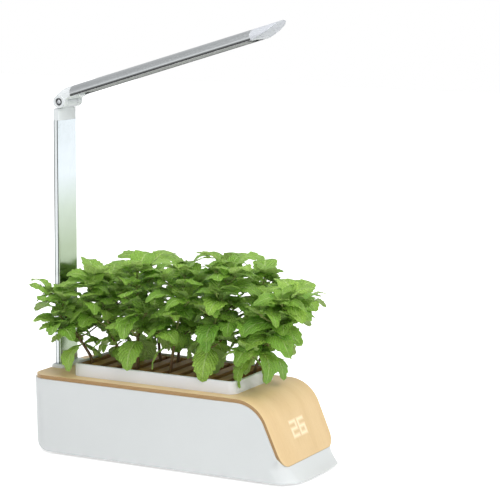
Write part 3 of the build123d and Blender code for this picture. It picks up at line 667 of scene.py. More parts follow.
@dataclass(frozen=True)
class Bamboo:
    """Pale wood whose fibres follow the bend of the cover."""

    name: str
    light: Colour
    dark: Colour
    line: Colour
    grain: Grain = Grain.LENGTHWISE
    rough: float = 0.4
    fold: float = 0.9
    edge: float = 0.0009
    # Share of darkening on faces turned to the sides: the darker cut edges, with painted shade of the gap
    # beside the cover.
    cut: float = 0.75
    display: DisplayGlow | None = None
    fibre_scale: tuple[float, float, float] = (14, 900, 60)
    pore_scale: tuple[float, float, float] = (45, 2600, 200)
    broad_scale: tuple[float, float, float] = (5, 26, 6)
    ring_aside: float = 0.012
    ring_start: float = 0.03
    ring_squash: float = 0.28
    ring_count: float = 170.0
    ring_warp: float = 7.0
    fibre_share: float = 0.55
    broad_share: float = 0.2
    ring_share: float = 0.25
    pore_share: float = 0.35
    worn_share: float = 0.3
    coat: float = 0.06
    coat_rough: float = 0.3
    specular: float = 0.35
    depth: float = 0.00006

    def build(self) -> bpy.types.Material:
        """Make the material.

        Returns:
            The finished material.
        """
        g = Graph(self.name)
        x, y, z = g.parts(g.point)
        run, side = y, x
        if self.grain is Grain.LENGTHWISE:
            run, side = g.less(x, g.product(z, self.fold)), y
        flow = g.join(run, side, z)
        fibre = g.noise(g.place(self.fibre_scale, source=flow), 1.0, 6.0, 0.6, 0.15)
        pores = g.noise(g.place(self.pore_scale, source=flow), 1.0, 3.0, 0.6)
        broad = g.noise(g.place(self.broad_scale, source=flow), 1.0, 3.0, 0.5, 0.8)
        squashed = g.product(g.less(run, self.ring_start), self.ring_squash)
        ring = g.reach(g.total(side, self.ring_aside), squashed)
        wave = g.math("SINE", g.total(g.product(ring, self.ring_count), g.product(broad, self.ring_warp)))
        tone = g.product(g.spread(fibre, 0.2, 0.8), self.fibre_share)
        tone = g.total(tone, g.product(g.spread(broad, 0.2, 0.8), self.broad_share))
        tone = g.total(tone, g.product(g.spread(wave, -1.0, 1.0), self.ring_share))
        colour = g.mix(tone, self.dark, self.light)
        colour = g.mix(g.product(g.spread(pores, 0.62, 0.75), self.pore_share), colour, self.line)
        # Faces turned to the sides are darkened towards the line colour: the darker cut edges of the board,
        # with painted shade of the gap along the cover's lower edges.
        _, facing, _ = g.parts(g.add("NewGeometry").outputs["Normal"])
        cut = g.spread(g.math("ABSOLUTE", facing), 0.5, 0.95, 0.0, self.cut)
        colour = g.mix(cut, colour, self.line)
        colour = g.mix(g.product(g.wear(self.edge), self.worn_share), colour, self.line)
        if self.display:
            lit = self.display.mask(g)
            # Painted glow: besides the emission, the lit bars also lighten the wood's own colour.
            colour = g.mix(g.product(lit, self.display.glow_in_colour_share), colour, self.display.colour)
            g.put("Emission Color", self.display.colour)
            g.put("Emission Strength", g.product(lit, self.display.power))
        g.put("Base Color", colour)
        g.put("Roughness", g.vary(fibre, self.rough - 0.05, self.rough + 0.08))
        g.put("Coat Weight", self.coat)
        g.put("Coat Roughness", self.coat_rough)
        g.put("Specular IOR Level", self.specular)
        relief = g.less(fibre, g.product(pores, 0.5))
        g.put("Normal", g.bump(relief, self.depth, 0.4, g.round_edges(self.edge)))
        return g.material


@dataclass(frozen=True)
class LeafSkin:
    """Mint leaf with midrib, side veins, quilted surface, painted shade in its sunken veinlets and paler
    back.
    """

    name: str
    deep: Colour
    bright: Colour
    young: Colour
    vein: Colour
    rib_inner: float = 0.012
    rib_outer: float = 0.05
    vein_bend: float = 1.15
    vein_lean: float = 0.95
    vein_count: float = 7.5
    vein_wide: float = 0.13
    net_scale: float = 420.0
    net_wide: float = 0.18
    patch_scale: float = 85.0
    young_share: float = 0.85
    patch_share: float = 0.45
    valley_shade_share: float = 0.5
    valley_shade_dim: float = 0.42
    side_share: float = 0.45
    net_share: float = 0.1
    vein_share: float = 0.62
    back_share: float = 0.45
    specular: float = 0.5
    rib_sink: float = 0.9
    net_puff: float = 0.35
    puff_high: float = 0.0013
    glow_share: float = 0.26

    def build(self) -> bpy.types.Material:
        """Make the material.

        Returns:
            The finished material.
        """
        g = Graph(self.name)
        uv = g.add("UVMap")
        uv.uv_map = LeafShape.UV_MAP
        u, v, _ = g.parts(uv.outputs[0])
        own = g.add("Attribute")
        own.attribute_name = Blade.TINT
        tint, age, _ = g.parts(own.outputs["Vector"])
        offset = g.math("ABSOLUTE", g.less(u, 0.5))
        rib = g.spread(offset, self.rib_inner, self.rib_outer, 1.0, 0.0)
        lean = g.product(g.math("POWER", offset, self.vein_bend), self.vein_lean)
        phase = g.math("FRACT", g.product(g.less(v, lean), self.vein_count))
        close = g.math("MINIMUM", phase, g.less(1.0, phase))
        side = g.spread(close, 0.0, self.vein_wide, 1.0, 0.0)
        net = g.cells(g.point, self.net_scale, CellPart.EDGE)
        patch = g.noise(g.point, self.patch_scale, 5.0, 0.6)
        body = g.mix(tint, self.deep, self.bright)
        body = g.mix(g.product(age, self.young_share), body, self.young)
        body = g.mix(g.spread(patch, 0.35, 0.7, 0.0, self.patch_share), body, self.deep)
        # Painted shade: the sunken veinlets between the quilted cells are darkened.
        valley_shade = g.product(g.spread(net, 0.32, 0.0), self.valley_shade_share)
        body = g.mix(valley_shade, body, dimmed(self.deep, self.valley_shade_dim))
        veins = g.math("MAXIMUM", rib, g.product(side, self.side_share))
        fine = g.spread(net, 0.0, self.net_wide, 1.0, 0.0)
        veins = g.math("MAXIMUM", veins, g.product(fine, self.net_share))
        colour = g.mix(g.product(veins, self.vein_share), body, self.vein)
        behind = g.add("NewGeometry").outputs["Backfacing"]
        colour = g.mix(behind, colour, g.mix(self.back_share, colour, self.vein))
        g.put("Base Color", colour)
        g.put("Roughness", g.vary(patch, 0.36, 0.52))
        g.put("Specular IOR Level", self.specular)
        puff = g.less(g.spread(close, 0.0, 0.45), g.product(rib, self.rib_sink))
        puff = g.total(puff, g.product(g.spread(net, 0.0, 0.4), self.net_puff))
        normal = g.bump(puff, self.puff_high, 0.8)
        g.put("Normal", normal)
        glow = g.add("BsdfTranslucent")
        g.feed(glow.inputs["Color"], g.mix(0.5, colour, self.young))
        g.link(normal, glow.inputs["Normal"])
        blend = g.add("MixShader")
        blend.inputs[0].default_value = self.glow_share
        g.link(g.shader.outputs[0], blend.inputs[1])
        g.link(glow.outputs[0], blend.inputs[2])
        g.link(blend.outputs[0], g.output.inputs[0])
        return g.material


@dataclass(frozen=True)
class Stalk:
    """Plant stem, green above and browner at its foot."""

    name: str
    green: Colour
    brown: Colour
    brown_z: float
    green_z: float
    streak_scale: float = 900.0
    streak_stretch: tuple[float, float, float] = (1, 1, 0.15)
    streak_share: float = 0.6
    streak_dim: float = 0.4
    patch_scale: float = 60.0
    patch_high: float = 0.02
    smooth: float = 0.45
    rough: float = 0.65
    soft: float = 0.15
    soft_radius: tuple[float, float, float] = (0.002, 0.004, 0.001)
    depth: float = 0.0002

    def build(self) -> bpy.types.Material:
        """Make the material.

        Returns:
            The finished material.
        """
        g = Graph(self.name)
        _, _, z = g.parts(g.point)
        streak = g.noise(g.place(self.streak_stretch), self.streak_scale, 4.0)
        patch = g.noise(g.point, self.patch_scale, 4.0)
        level = g.total(z, g.vary(patch, -self.patch_high, self.patch_high))
        colour = g.mix(g.spread(level, self.brown_z, self.green_z), self.brown, self.green)
        dark = g.mix(0.5, colour, dimmed(self.brown, self.streak_dim))
        g.put("Base Color", g.mix(g.spread(streak, 0.3, 0.75, 0.0, self.streak_share), colour, dark))
        g.put("Roughness", g.vary(streak, self.smooth, self.rough))
        g.put("Subsurface Weight", self.soft)
        g.put("Subsurface Radius", self.soft_radius)
        g.put("Normal", g.bump(streak, self.depth, 0.6))
        return g.material


@dataclass(frozen=True)
class Soil:
    """Loose dark fibre."""

    name: str
    dark: Colour
    light: Colour
    crumb_scale: float = 330.0
    fibre_scale: float = 420.0
    fibre_stretch: tuple[float, float, float] = (1, 5, 1)
    fibre_turn: float = 0.6
    rough: float = 0.95
    depth: float = 0.0012

    def build(self) -> bpy.types.Material:
        """Make the material.

        Returns:
            The finished material.
        """
        g = Graph(self.name)
        crumbs = g.cells(g.point, self.crumb_scale)
        turned = g.place(self.fibre_stretch, (0, 0, self.fibre_turn))
        fibre = g.noise(turned, self.fibre_scale, 7.0, 0.7, 1.5)
        tone = g.product(g.spread(crumbs, 0.1, 0.6), g.vary(fibre))
        g.put("Base Color", g.mix(tone, self.dark, self.light))
        g.put("Roughness", self.rough)
        g.put("Normal", g.bump(g.total(crumbs, fibre), self.depth, 0.9))
        return g.material


@dataclass(frozen=True)
class Board:
    """Circuit board with solder mask, traces and pads."""

    name: str
    mask: Colour
    pad: Colour = (0.7, 0.66, 0.55)
    trace_scale: float = 260.0
    trace_light: float = 1.8
    trace_share: float = 0.5
    pad_scale: float = 190.0
    pad_metal: float = 0.8
    grain: float = 300.0
    depth: float = 0.00006
    edge: float = 0.0002

    def build(self) -> bpy.types.Material:
        """Make the material.

        Returns:
            The finished material.
        """
        g = Graph(self.name)
        traces = g.cells(g.point, self.trace_scale, CellPart.EDGE)
        lines = g.spread(traces, 0.03, 0.06, 1.0, 0.0)
        pads = g.spread(g.cells(g.point, self.pad_scale), 0.1, 0.13, 1.0, 0.0)
        colour = g.mix(g.product(lines, self.trace_share), self.mask, dimmed(self.mask, self.trace_light))
        g.put("Base Color", g.mix(pads, colour, self.pad))
        g.put("Metallic", g.product(pads, self.pad_metal))
        g.put("Roughness", g.vary(g.noise(g.point, self.grain), 0.3, 0.45))
        g.put("Normal", g.bump(g.total(lines, pads), self.depth, 0.7, g.round_edges(self.edge)))
        return g.material


class Finish(Enum):
    """Every finish on the planter."""

    HOUSING = Plastic("housing_white", srgb(216, 219, 219), 0.32, 1400.0, 0.00002, 0.15, 0.0008, 0.02)
    TRAY = Plastic("tray_white", srgb(232, 234, 238), 0.5, 1100.0, 0.00004, 0.0, 0.0007, 0.03)
    LAMP = Plastic("lamp_plastic", srgb(222, 226, 227), 0.34, 1500.0, 0.00002, 0.1, 0.0006, 0.02)
    INNER = Plastic("inner_plastic", srgb(205, 205, 203), 0.5)
    TANK = Plastic("tank_plastic", srgb(190, 198, 203), 0.3, 700.0, 0.00002, 0.1)
    PUMP = Plastic("pump_black", (0.02, 0.02, 0.023), 0.42)
    FLOAT = Plastic("float_foam", srgb(228, 110, 40), 0.7, 500.0, 0.0001)
    FOOT = Plastic("foot_rubber", (0.025, 0.025, 0.026), 0.75, 600.0, 0.00008, 0.0, 0.0005, 0.2)
    WASHER = Plastic("washer_nylon", (0.05, 0.05, 0.05), 0.6)
    CABLE = Plastic("cable_sheath", (0.02, 0.02, 0.02), 0.55, 800.0, 0.00005)
    DISPLAY = Plastic("display_black", (0.012, 0.012, 0.014), 0.2, 1200.0, 0.00001, 0.5)
    INLET = Plastic("inlet_black", (0.015, 0.015, 0.016), 0.45)
    LED = Plastic("led_phosphor", srgb(246, 236, 170), 0.35, 1200.0, 0.00003, 0.6, 0.0003)
    # The frosted diffuser is white; its colour is painted grey to stand for the shade under the arm.
    DIFFUSER_IN_SHADE = Plastic("diffuser_painted_shade", srgb(138, 141, 138), 0.6, 1200.0, 0.00003)
    END_CAP = Plastic("end_cap_plastic", srgb(198, 201, 207), 0.45, 1500.0, 0.000004, 0.0, 0.0002, 0.02)
    MAST = Metal("mast_aluminium", srgb(206, 211, 212), 0.3, (1, 1, 0.012), painted_shade=GrooveShade())
    ARM = Metal("arm_aluminium", srgb(208, 211, 212), 0.36, (0.012, 1, 1), ARM_TURN, painted_shade=SeamShade())
    # The strip's three colours are a painted reflection of the sky and the leaves.
    MIRROR = PolishedStrip("mirror_strip", srgb(205, 213, 217), srgb(176, 188, 174), srgb(150, 164, 140))
    STEEL = Metal("screw_steel", srgb(170, 170, 172), 0.3, EVEN)
    HINGE = Metal("hinge_steel", srgb(120, 120, 122), 0.34, EVEN)
    BOLT = BoltHead("bolt_head", srgb(226, 228, 230), srgb(38, 40, 42), HINGE_X, HINGE_Z, 0.0023)
    BAMBOO = Bamboo(
        "bamboo_cover", srgb(236, 208, 160), srgb(219, 185, 132), srgb(146, 106, 60),
        display=DisplayGlow(srgb(255, 242, 218), 0.19),
    )
    SLAT = Bamboo(
        "slat_wood", srgb(192, 144, 84), srgb(136, 94, 50), srgb(60, 38, 18), Grain.CROSSWISE, 0.6, cut=0.0
    )
    LEAF = LeafSkin(
        "mint_leaf", srgb(130, 191, 58), srgb(188, 233, 94), srgb(214, 245, 124), srgb(216, 242, 160)
    )
    STALK = Stalk("mint_stem", srgb(140, 158, 80), srgb(118, 88, 56), 0.12, 0.19)
    SOIL = Soil("growing_fibre", (0.012, 0.007, 0.004), (0.09, 0.055, 0.028))
    BOARD = Board("circuit_board", (0.02, 0.11, 0.045))


class Paint:
    """Builds each finish once and hands it out."""

    def __init__(self) -> None:
        """Start with nothing built."""
        self._made: dict[Finish, bpy.types.Material] = {}

    def get(self, finish: Finish) -> bpy.types.Material:
        """Material of a finish.

        Args:
            finish: The finish wanted.

        Returns:
            Its material, built on first use.
        """
        if finish not in self._made:
            self._made[finish] = finish.value.build()
        return self._made[finish]

    def node(self, name: str, finish: Finish) -> None:
        """Give every slot of a CAD node one finish.

        Args:
            name: Name of the node.
            finish: Its finish.
        """
        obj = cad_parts[name]
        material = self.get(finish)
        if not obj.material_slots:
            obj.data.materials.append(material)
        for place in obj.material_slots:
            place.material = material


def new_object(name: str, bm: bmesh.types.BMesh, materials: Iterable[bpy.types.Material]) -> bpy.types.Object:
    """Turn a bmesh into a linked object at the origin.

    Args:
        name: Name of the object.
        bm: Mesh to store; it is freed.
        materials: Materials in slot order.

    Returns:
        The new object.
    """
    mesh = bpy.data.meshes.new(name)
    bm.to_mesh(mesh)
    bm.free()
    for material in materials:
        mesh.materials.append(material)
    obj = bpy.data.objects.new(name, mesh)
    bpy.context.scene.collection.objects.link(obj)
    LOG.info("built %s", name)
    return obj


def smooth(bm: bmesh.types.BMesh) -> None:
    """Shade every face smooth."""
    for face in bm.faces:
        face.smooth = True


def add_tube(
    bm: bmesh.types.BMesh, path: Sequence[Vector], radii: Sequence[float], sides: int, slot: int
) -> None:
    """Extrude a round tube along a path.

    Args:
        bm: Mesh that receives the tube.
        path: Points of the centre line.
        radii: Radius at each point.
        sides: Number of sides.
        slot: Material index of its faces.
    """
    before = set(bm.faces)
    ring: list[bmesh.types.BMVert] = []
    for step, point in enumerate(path):
        ahead = path[min(step + 1, len(path) - 1)] - path[max(step - 1, 0)]
        turn = ahead.to_track_quat("Z", "Y").to_matrix().to_4x4()
        matrix = Matrix.Translation(point) @ turn
        if step == 0:
            made = bmesh.ops.create_circle(bm, cap_ends=True, segments=sides, radius=radii[0], matrix=matrix)
            ring = made["verts"]
            last = matrix
            continue
        edges = [e for e in bm.edges if e.verts[0] in ring and e.verts[1] in ring]
        made = bmesh.ops.extrude_edge_only(bm, edges=edges)
        ring = [v for v in made["geom"] if isinstance(v, bmesh.types.BMVert)]
        change = matrix @ Matrix.Scale(radii[step] / radii[step - 1], 4) @ last.inverted()
        bmesh.ops.transform(bm, matrix=change, verts=ring)
        last = matrix
    bmesh.ops.contextual_create(bm, geom=[e for e in bm.edges if e.verts[0] in ring and e.verts[1] in ring])
    for face in set(bm.faces) - before:
        face.material_index = slot


@dataclass(frozen=True)
class LeafShape:
    """Outline of a mint leaf in shares of its length."""

    UV_MAP = "LeafUV"

    rows: int = 14
    columns: int = 4
    half_wide: float = 0.35
    widest: float = 0.38
    swell: float = 0.6
    tip_power: float = 2.3
    tip_round: float = 0.75
    least_share: float = 0.03
    tooth: float = 0.06
    tooth_point: float = 0.03
    tooth_notch: float = -0.012
    stalk: float = 0.07

    def half_width(self, along: float) -> float:
        """Half width of the blade at a share of its length.

        Args:
            along: 0 at the stalk and 1 at the tip.

        Returns:
            The half width as a share of the length.
        """
        if along <= self.widest:
            share = math.sin(0.5 * math.pi * along / self.widest) ** self.swell
        else:
            rest = (along - self.widest) / (1 - self.widest)
            share = (1 - rest ** self.tip_power) ** self.tip_round
        return self.half_wide * max(share, self.least_share)

    def template(self) -> bpy.types.Mesh:
        """Flat toothed leaf of unit length along +X.

        Returns:
            A mesh with its own UV map.
        """
        bm = bmesh.new()
        made = bmesh.ops.create_grid(bm, x_segments=self.rows, y_segments=self.columns, size=0.5)
        layer = bm.loops.layers.uv.new(self.UV_MAP)
        smooth(bm)
        for face in bm.faces:
            for loop in face.loops:
                loop[layer].uv = (loop.vert.co.y + 0.5, loop.vert.co.x + 0.5)
        for vert in made["verts"]:
            along, across = vert.co.x + 0.5, vert.co.y * 2
            row = round(along * self.rows)
            half = self.half_width(along)
            if abs(across) > 0.99 and 0 < row < self.rows:
                half *= 1 + (self.tooth if row % 2 else -self.tooth)
                along += self.tooth_point if row % 2 else self.tooth_notch
            vert.co = Vector((self.stalk + along * (1 - self.stalk), across * half, 0))
        mesh = bpy.data.meshes.new("leaf_template")
        bm.to_mesh(mesh)
        bm.free()
        return mesh


@dataclass(frozen=True)
class LeafWaves:
    """Waves that every leaf has in shares of its length, and its short stalk in metres."""

    droop_from: float = 0.55
    ruffle: float = 0.02
    ruffle_turns: float = 21.0
    ruffle_edge: float = 5.0
    crease: float = 0.014
    crease_along: float = 34.0
    crease_across: float = 17.0
    phases: float = 40.0
    stalk_long_share: float = 0.12
    stalk_rise_share: float = 0.3
    stalk_foot_r: float = 0.0008
    stalk_end_r: float = 0.0005
    stalk_sides: int = 5
    held_x: float = 0.1840
    held_y: float = 0.0790
    held_give: float = 0.3

    def height(self, x: float, y: float, phase: float) -> float:
        """Height of the waves at a point of the blade.

        Args:
            x: Place along the blade.
            y: Place across the blade.
            phase: Shift of the waves of this leaf.

        Returns:
            The height as a share of the length.
        """
        ruffle = self.ruffle * math.sin(x * self.ruffle_turns + phase) * min(1.0, abs(y) * self.ruffle_edge)
        return ruffle + self.crease * math.sin(x * self.crease_along + y * self.crease_across + phase)

    def held(self, point: Vector) -> Vector:
        """Curl a point back where it would leave the spread of the planting.

        Args:
            point: Point of a leaf.

        Returns:
            The point, or its place inside the spread.
        """
        kept = []
        for place, half in ((point.x, self.held_x), (point.y, self.held_y)):
            over = abs(place) - half
            kept.append(math.copysign(half + over * self.held_give, place) if over > 0 else place)
        return Vector((*kept, point.z))


@dataclass(frozen=True)
class Blade:
    """One placed leaf, lengths in metres and angles in radians."""

    TINT = "tint"

    base: Vector
    turn: float
    pitch: float
    length: float
    arch: float
    droop: float
    fold: float
    roll: float
    tint: float
    age: float

    def add(self, bm: bmesh.types.BMesh, template: bpy.types.Mesh, waves: LeafWaves) -> None:
        """Bend a copy of the template and put it in place.

        Args:
            bm: Mesh of the plant.
            template: Flat unit leaf.
            waves: Waves and stalk of every leaf.
        """
        start = len(bm.verts)
        bm.from_mesh(template)
        bm.verts.ensure_lookup_table()
        tints = bm.verts.layers.float_vector[self.TINT]
        turned = Matrix.Rotation(self.turn, 4, "Z") @ Matrix.Rotation(-self.pitch, 4, "Y")
        turned = turned @ Matrix.Rotation(self.roll, 4, "X")
        for vert in bm.verts[start:]:
            x, y = vert.co.x, vert.co.y
            height = self.arch * math.sin(math.pi * x) - self.droop * max(0.0, x - waves.droop_from) ** 2
            height += abs(y) * math.sin(self.fold) + waves.height(x, y, self.tint * waves.phases)
            bent = Vector((x, y * math.cos(self.fold), height)) * self.length
            vert.co = waves.held(self.base + turned @ bent)
            vert[tints] = (self.tint, self.age, 0.0)
        first = len(bm.verts)
        rise = self.length * self.arch * waves.stalk_rise_share
        end = self.base + turned @ Vector((self.length * waves.stalk_long_share, 0, rise))
        add_tube(bm, [self.base, end], [waves.stalk_foot_r, waves.stalk_end_r], waves.stalk_sides, 1)
        bm.verts.ensure_lookup_table()
        for vert in bm.verts[first:]:
            vert[tints] = (self.tint, self.age, 1.0)


@dataclass(frozen=True)
class PlantLine:
    """Stem of one plant: gap between slats, root share, then the tip in shares of the canopy."""

    gap: int
    root_share: float
    tip_x_share: float
    tip_y_share: float
    tip_z_share: float


PLANTS = (
    PlantLine(0, -0.55, -0.81, -0.62, 0.57),
    PlantLine(2, -0.55, -0.51, -0.62, 0.71),
    PlantLine(3, -0.60, -0.20, -0.64, 0.80),
    PlantLine(5, -0.55, 0.11, -0.60, 0.79),
    PlantLine(7, -0.60, 0.41, -0.64, 0.87),
    PlantLine(9, -0.50, 0.82, -0.60, 0.70),
    PlantLine(1, 0.60, -0.70, 0.64, 0.60),
    PlantLine(3, 0.50, -0.42, 0.58, 0.72),
    PlantLine(4, 0.60, -0.15, 0.66, 0.74),
    PlantLine(6, 0.50, 0.12, 0.58, 0.78),
    PlantLine(8, 0.60, 0.37, 0.66, 0.72),
    PlantLine(9, 0.45, 0.57, 0.56, 0.58),
)


def heading(turn: float, pitch: float) -> Vector:
    """Unit vector along two angles.

    Args:
        turn: Angle about the upright in degrees.
        pitch: Angle above level in degrees.

    Returns:
        The vector.
    """
    flat = math.cos(math.radians(pitch))
    lift = math.sin(math.radians(pitch))
    return Vector((math.cos(math.radians(turn)) * flat, math.sin(math.radians(turn)) * flat, lift))


@dataclass(frozen=True)
class Canopy:
    """Sizes that the plants grow by, in millimetres and degrees, as in the solids."""

    slat_count: int = 9
    slat_width: float = 12.5
    slat_border: float = 5.0
    tub_inset: float = 4.2
    medium_z: float = 99.0
    half_long: float = 198.0
    half_deep: float = 79.0
    high: float = 160.0
    spread: tuple = (184.0, 79.0)
    slack: float = 0.06
    mast_keepout: float = 9.0
    golden_turn: float = 137.5
    stem_r: float = 1.5
    stem_foot_r: float = 2.1
    stem_taper: float = 1.1
    stem_sides: int = 7
    stem_sway: float = 1.2
    knee_share: float = 0.7
    stem_shares: tuple = (0.06, 0.2, 0.35, 0.5, 0.65, 0.8, 0.92, 1)
    bare_share: float = 0.2
    leaf_long: float = 38.0
    leaf_step: float = 14.0
    leaf_pitch: float = 34.0
    leaf_droop: float = 12.0
    leaf_half_wide: float = 0.33
    leaf_shares: tuple = ((0.15, 0.5), (0.4, 1), (0.7, 0.8), (1, 0))
    leaf_trials: tuple = (1, 0.85, 0.7, 0.55)
    leaf_clear: float = 2.0
    leaf_fuller: float = 1.1
    shoot_r: float = 1.1
    shoot_radii: tuple = (1.1, 1.0, 0.8)
    shoot_sides: int = 6
    shoot_sag: float = 1.5
    shoot_long: float = 26.0
    shoot_step: float = 21.0
    shoot_pitch: float = 28.0
    shoot_leaf: float = 0.8
    axil_swing: float = 30.0
    axil_pitch: float = 40.0
    axil_shares: tuple = (0.5, 0.8)
    crown: tuple = ((15.0, 38.0), (10.0, 62.0))


@dataclass(frozen=True)
class LeafRanges:
    """Ranges that the seeded draws for a leaf are made from."""

    seed: int = 4100
    longer: tuple = (1.0, 1.05)
    arch: tuple = (0.06, 0.14)
    droop: tuple = (0.5, 1.5)
    fold: tuple = (-0.3, 0.25)
    roll: tuple = (-0.42, 0.42)
    tint: tuple = (0.5, 0.28)
    age: tuple = (0.6, 1.0)
    young: float = 0.45
    axil: float = 0.3
    crown: float = 0.9


class MintBed:
    """All mint plants of the tray."""

    def __init__(self, paint: Paint, size: Canopy, ranges: LeafRanges, waves: LeafWaves) -> None:
        """Read the tray and the mast from the frame.

        Args:
            paint: Source of the materials.
            size: Sizes that the plants grow by.
            ranges: Ranges of the draws.
            waves: Waves and stalk of every leaf.
        """
        self.paint = paint
        self.size = size
        self.ranges = ranges
        self.waves = waves
        self.template = LeafShape().template()
        grid = [Vector(c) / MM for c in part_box("slat_grid")]
        tray = [Vector(c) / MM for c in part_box("planting_tray")]
        mast = [Vector(c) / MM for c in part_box("mast_face_plate")]
        inner = grid[1].x - grid[0].x - size.slat_border * 2
        gap = (inner - size.slat_count * size.slat_width) / (size.slat_count + 1)
        self.pitch = size.slat_width + gap
        self.start_x = grid[0].x + size.slat_border + gap / 2
        self.tub_half = tray[1].y - size.tub_inset
        self.rim_z = tray[1].z
        self.mast_x, self.mast_half = mast[1].x, mast[1].y
        self.stems = [self._stem(line) for line in PLANTS]

    def build(self) -> None:
        """Grow every plant and let it stand for its CAD node."""
        for number in range(len(PLANTS)):
            self._grow(number)

    def _stem(self, line: PlantLine) -> tuple[Vector, Vector, Vector]:
        """Lay out one stem.

        Args:
            line: The plant's line of the table.

        Returns:
            Root, knee and tip.
        """
        size = self.size
        x = self.start_x + line.gap * self.pitch
        y = self.tub_half * line.root_share
        tip_z = size.medium_z + size.high * line.tip_z_share
        tip = Vector((size.half_long * line.tip_x_share, size.half_deep * line.tip_y_share, tip_z))
        return Vector((x, y, size.medium_z)), Vector((x, y, self.rim_z + size.stem_r)), tip

    def _distance(self, point: Vector, number: int) -> float:
        """Distance from a point to the leaning part of a stem.

        Args:
            point: The point.
            number: Number of the plant.

        Returns:
            The distance.
        """
        _, start, end = self.stems[number]
        run = end - start
        share = max(0, min(1, (point - start).dot(run) / run.dot(run)))
        return (point - start - run * share).length

    def _has_room(self, point: Vector, number: int) -> bool:
        """Test whether a point lies in the room that one plant keeps to itself.

        Args:
            point: The point.
            number: Number of the plant.

        Returns:
            True where it does.
        """
        size = self.size
        if abs(point.x) > size.spread[0] + size.slack or abs(point.y) > size.spread[1] + size.slack:
            return False
        own = self._distance(point, number)
        others = [self._distance(point, n) for n in range(len(self.stems)) if n != number]
        if own + size.leaf_clear > min(others) or point.z < self.rim_z + size.leaf_clear:
            return False
        return not self._near_mast(point)

    def _near_mast(self, point: Vector) -> bool:
        """True where a point lies in the column that the mast keeps."""
        keep = self.size.mast_keepout
        return point.x < self.mast_x + keep and abs(point.y) < self.mast_half + keep

    def _length(self, number: int, base: Vector, turn: float, pitch: float, share: float) -> float:
        """Find the length that a leaf has room for.

        Args:
            number: Number of the plant.
            base: Foot of the leaf.
            turn: Its heading.
            pitch: Its angle above level.
            share: Share of a full leaf that is wanted.

        Returns:
            The length, 0 where it finds no room.
        """
        size = self.size
        along, across = heading(turn, pitch), heading(turn + 90, 0)
        reach = size.leaf_long
        for place, slope, half in zip(base[:2], along[:2], size.spread):
            if abs(place + slope * reach) > half:
                reach = min(reach, (half - abs(place)) / abs(slope))
        for trial in size.leaf_trials:
            long = reach * share * trial
            wide = long * size.leaf_half_wide
            corners = [
                base + along * (long * a) + across * (wide * b * side)
                for a, b in size.leaf_shares
                for side in (1, -1)
            ]
            if all(self._has_room(corner, number) for corner in corners):
                full = base + along * (long * size.leaf_fuller)
                return long if self._near_mast(full) else long * size.leaf_fuller
        return 0.0

    def _grow(self, number: int) -> None:
        """Grow one plant.

        Args:
            number: Its place among the plants.
        """
        size = self.size
        rng = random.Random(self.ranges.seed + number)
        bm = bmesh.new()
        bm.verts.layers.float_vector.new(Blade.TINT)
        root, knee, tip = self.stems[number]
        path = [root, root.lerp(knee, size.knee_share)]
        path += [knee + (tip - knee) * share + self._sway(rng, share) for share in size.stem_shares]
        radii = [(size.stem_foot_r - size.stem_taper * i / (len(path) - 1)) * MM for i in range(len(path))]
        add_tube(bm, [p * MM for p in path], radii, size.stem_sides, 1)
        run = tip - knee
        along = run.normalized()
        start_turn = number * size.golden_turn
        leafy = run.length * (1 - size.bare_share)
        for step in range(int(leafy / size.leaf_step) + 1):
            base = tip - along * (size.stem_r + step * size.leaf_step)
            pitch = size.leaf_pitch - step * size.leaf_droop
            self._pair(bm, rng, number, base, start_turn + step * 90, pitch, 1, step == 0)
        self._crown(bm, rng, tip, start_turn + 45)
        for step in range(1, int(leafy / size.shoot_step) + 1):
            base = tip - along * (step * size.shoot_step)
            turn = start_turn + step * size.golden_turn
            for half_turn in (0, 180):
                out = heading(turn + half_turn, size.shoot_pitch)
                if self._has_room(base + out * size.shoot_long, number):
                    self._shoot(bm, rng, number, base, out, turn)
        name = f"mint_plant_{number + 1:02d}"
        bmesh.ops.recalc_face_normals(bm, faces=[f for f in bm.faces if f.material_index == 1])
        smooth(bm)
        materials = [self.paint.get(Finish.LEAF), self.paint.get(Finish.STALK)]
        obj = new_object(f"mint_{number + 1:02d}", bm, materials)
        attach(obj, "tray")
        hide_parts(name)

    def _sway(self, rng: random.Random, share: float) -> Vector:
        """Small sideways step of a stem."""
        amount = self.size.stem_sway * math.sin(math.pi * share)
        return Vector((rng.uniform(-1, 1), rng.uniform(-1, 1), 0)) * amount

    def _shoot(
        self, bm: bmesh.types.BMesh, rng: random.Random, number: int, base: Vector, out: Vector, turn: float
    ) -> None:
        """Grow a side shoot with two pairs of leaves and a crown.

        Args:
            bm: Mesh of the plant.
            rng: Source of the draws.
            number: Number of the plant.
            base: Foot of the shoot.
            out: Its direction.
            turn: Heading of its first pair.
        """
        size = self.size
        tip = base + out * size.shoot_long
        middle = base.lerp(tip, 0.5) - Vector((0, 0, size.shoot_sag))
        radii = [radius * MM for radius in size.shoot_radii]
        add_tube(bm, [base * MM, middle * MM, tip * MM], radii, size.shoot_sides, 1)
        end = base + out * (size.shoot_long - size.shoot_r)
        self._pair(bm, rng, number, end, turn, size.leaf_pitch, size.shoot_leaf, True)
        self._pair(bm, rng, number, end, turn + 90, 0, size.shoot_leaf, False)
        self._crown(bm, rng, tip, turn + 45)

    def _pair(
        self,
        bm: bmesh.types.BMesh,
        rng: random.Random,
        number: int,
        base: Vector,
        turn: float,
        pitch: float,
        share: float,
        young: bool,
    ) -> None:
        """Add two opposite leaves where there is room, and the small ones between them.

        Args:
            bm: Mesh of the plant.
            rng: Source of the draws.
            number: Number of the plant.
            base: Foot of both leaves.
            turn: Heading of the first leaf.
            pitch: Angle of both above level.
            share: Share of a full leaf that is wanted.
            young: True for leaves of the young colour.
        """
        for half_turn in (0, 180):
            long = self._length(number, base, turn + half_turn, pitch, share)
            if long:
                self._leaf(bm, rng, base, turn + half_turn, pitch, long, self.ranges.young if young else 0.0)
        self._axil(bm, rng, number, base, turn + 90)

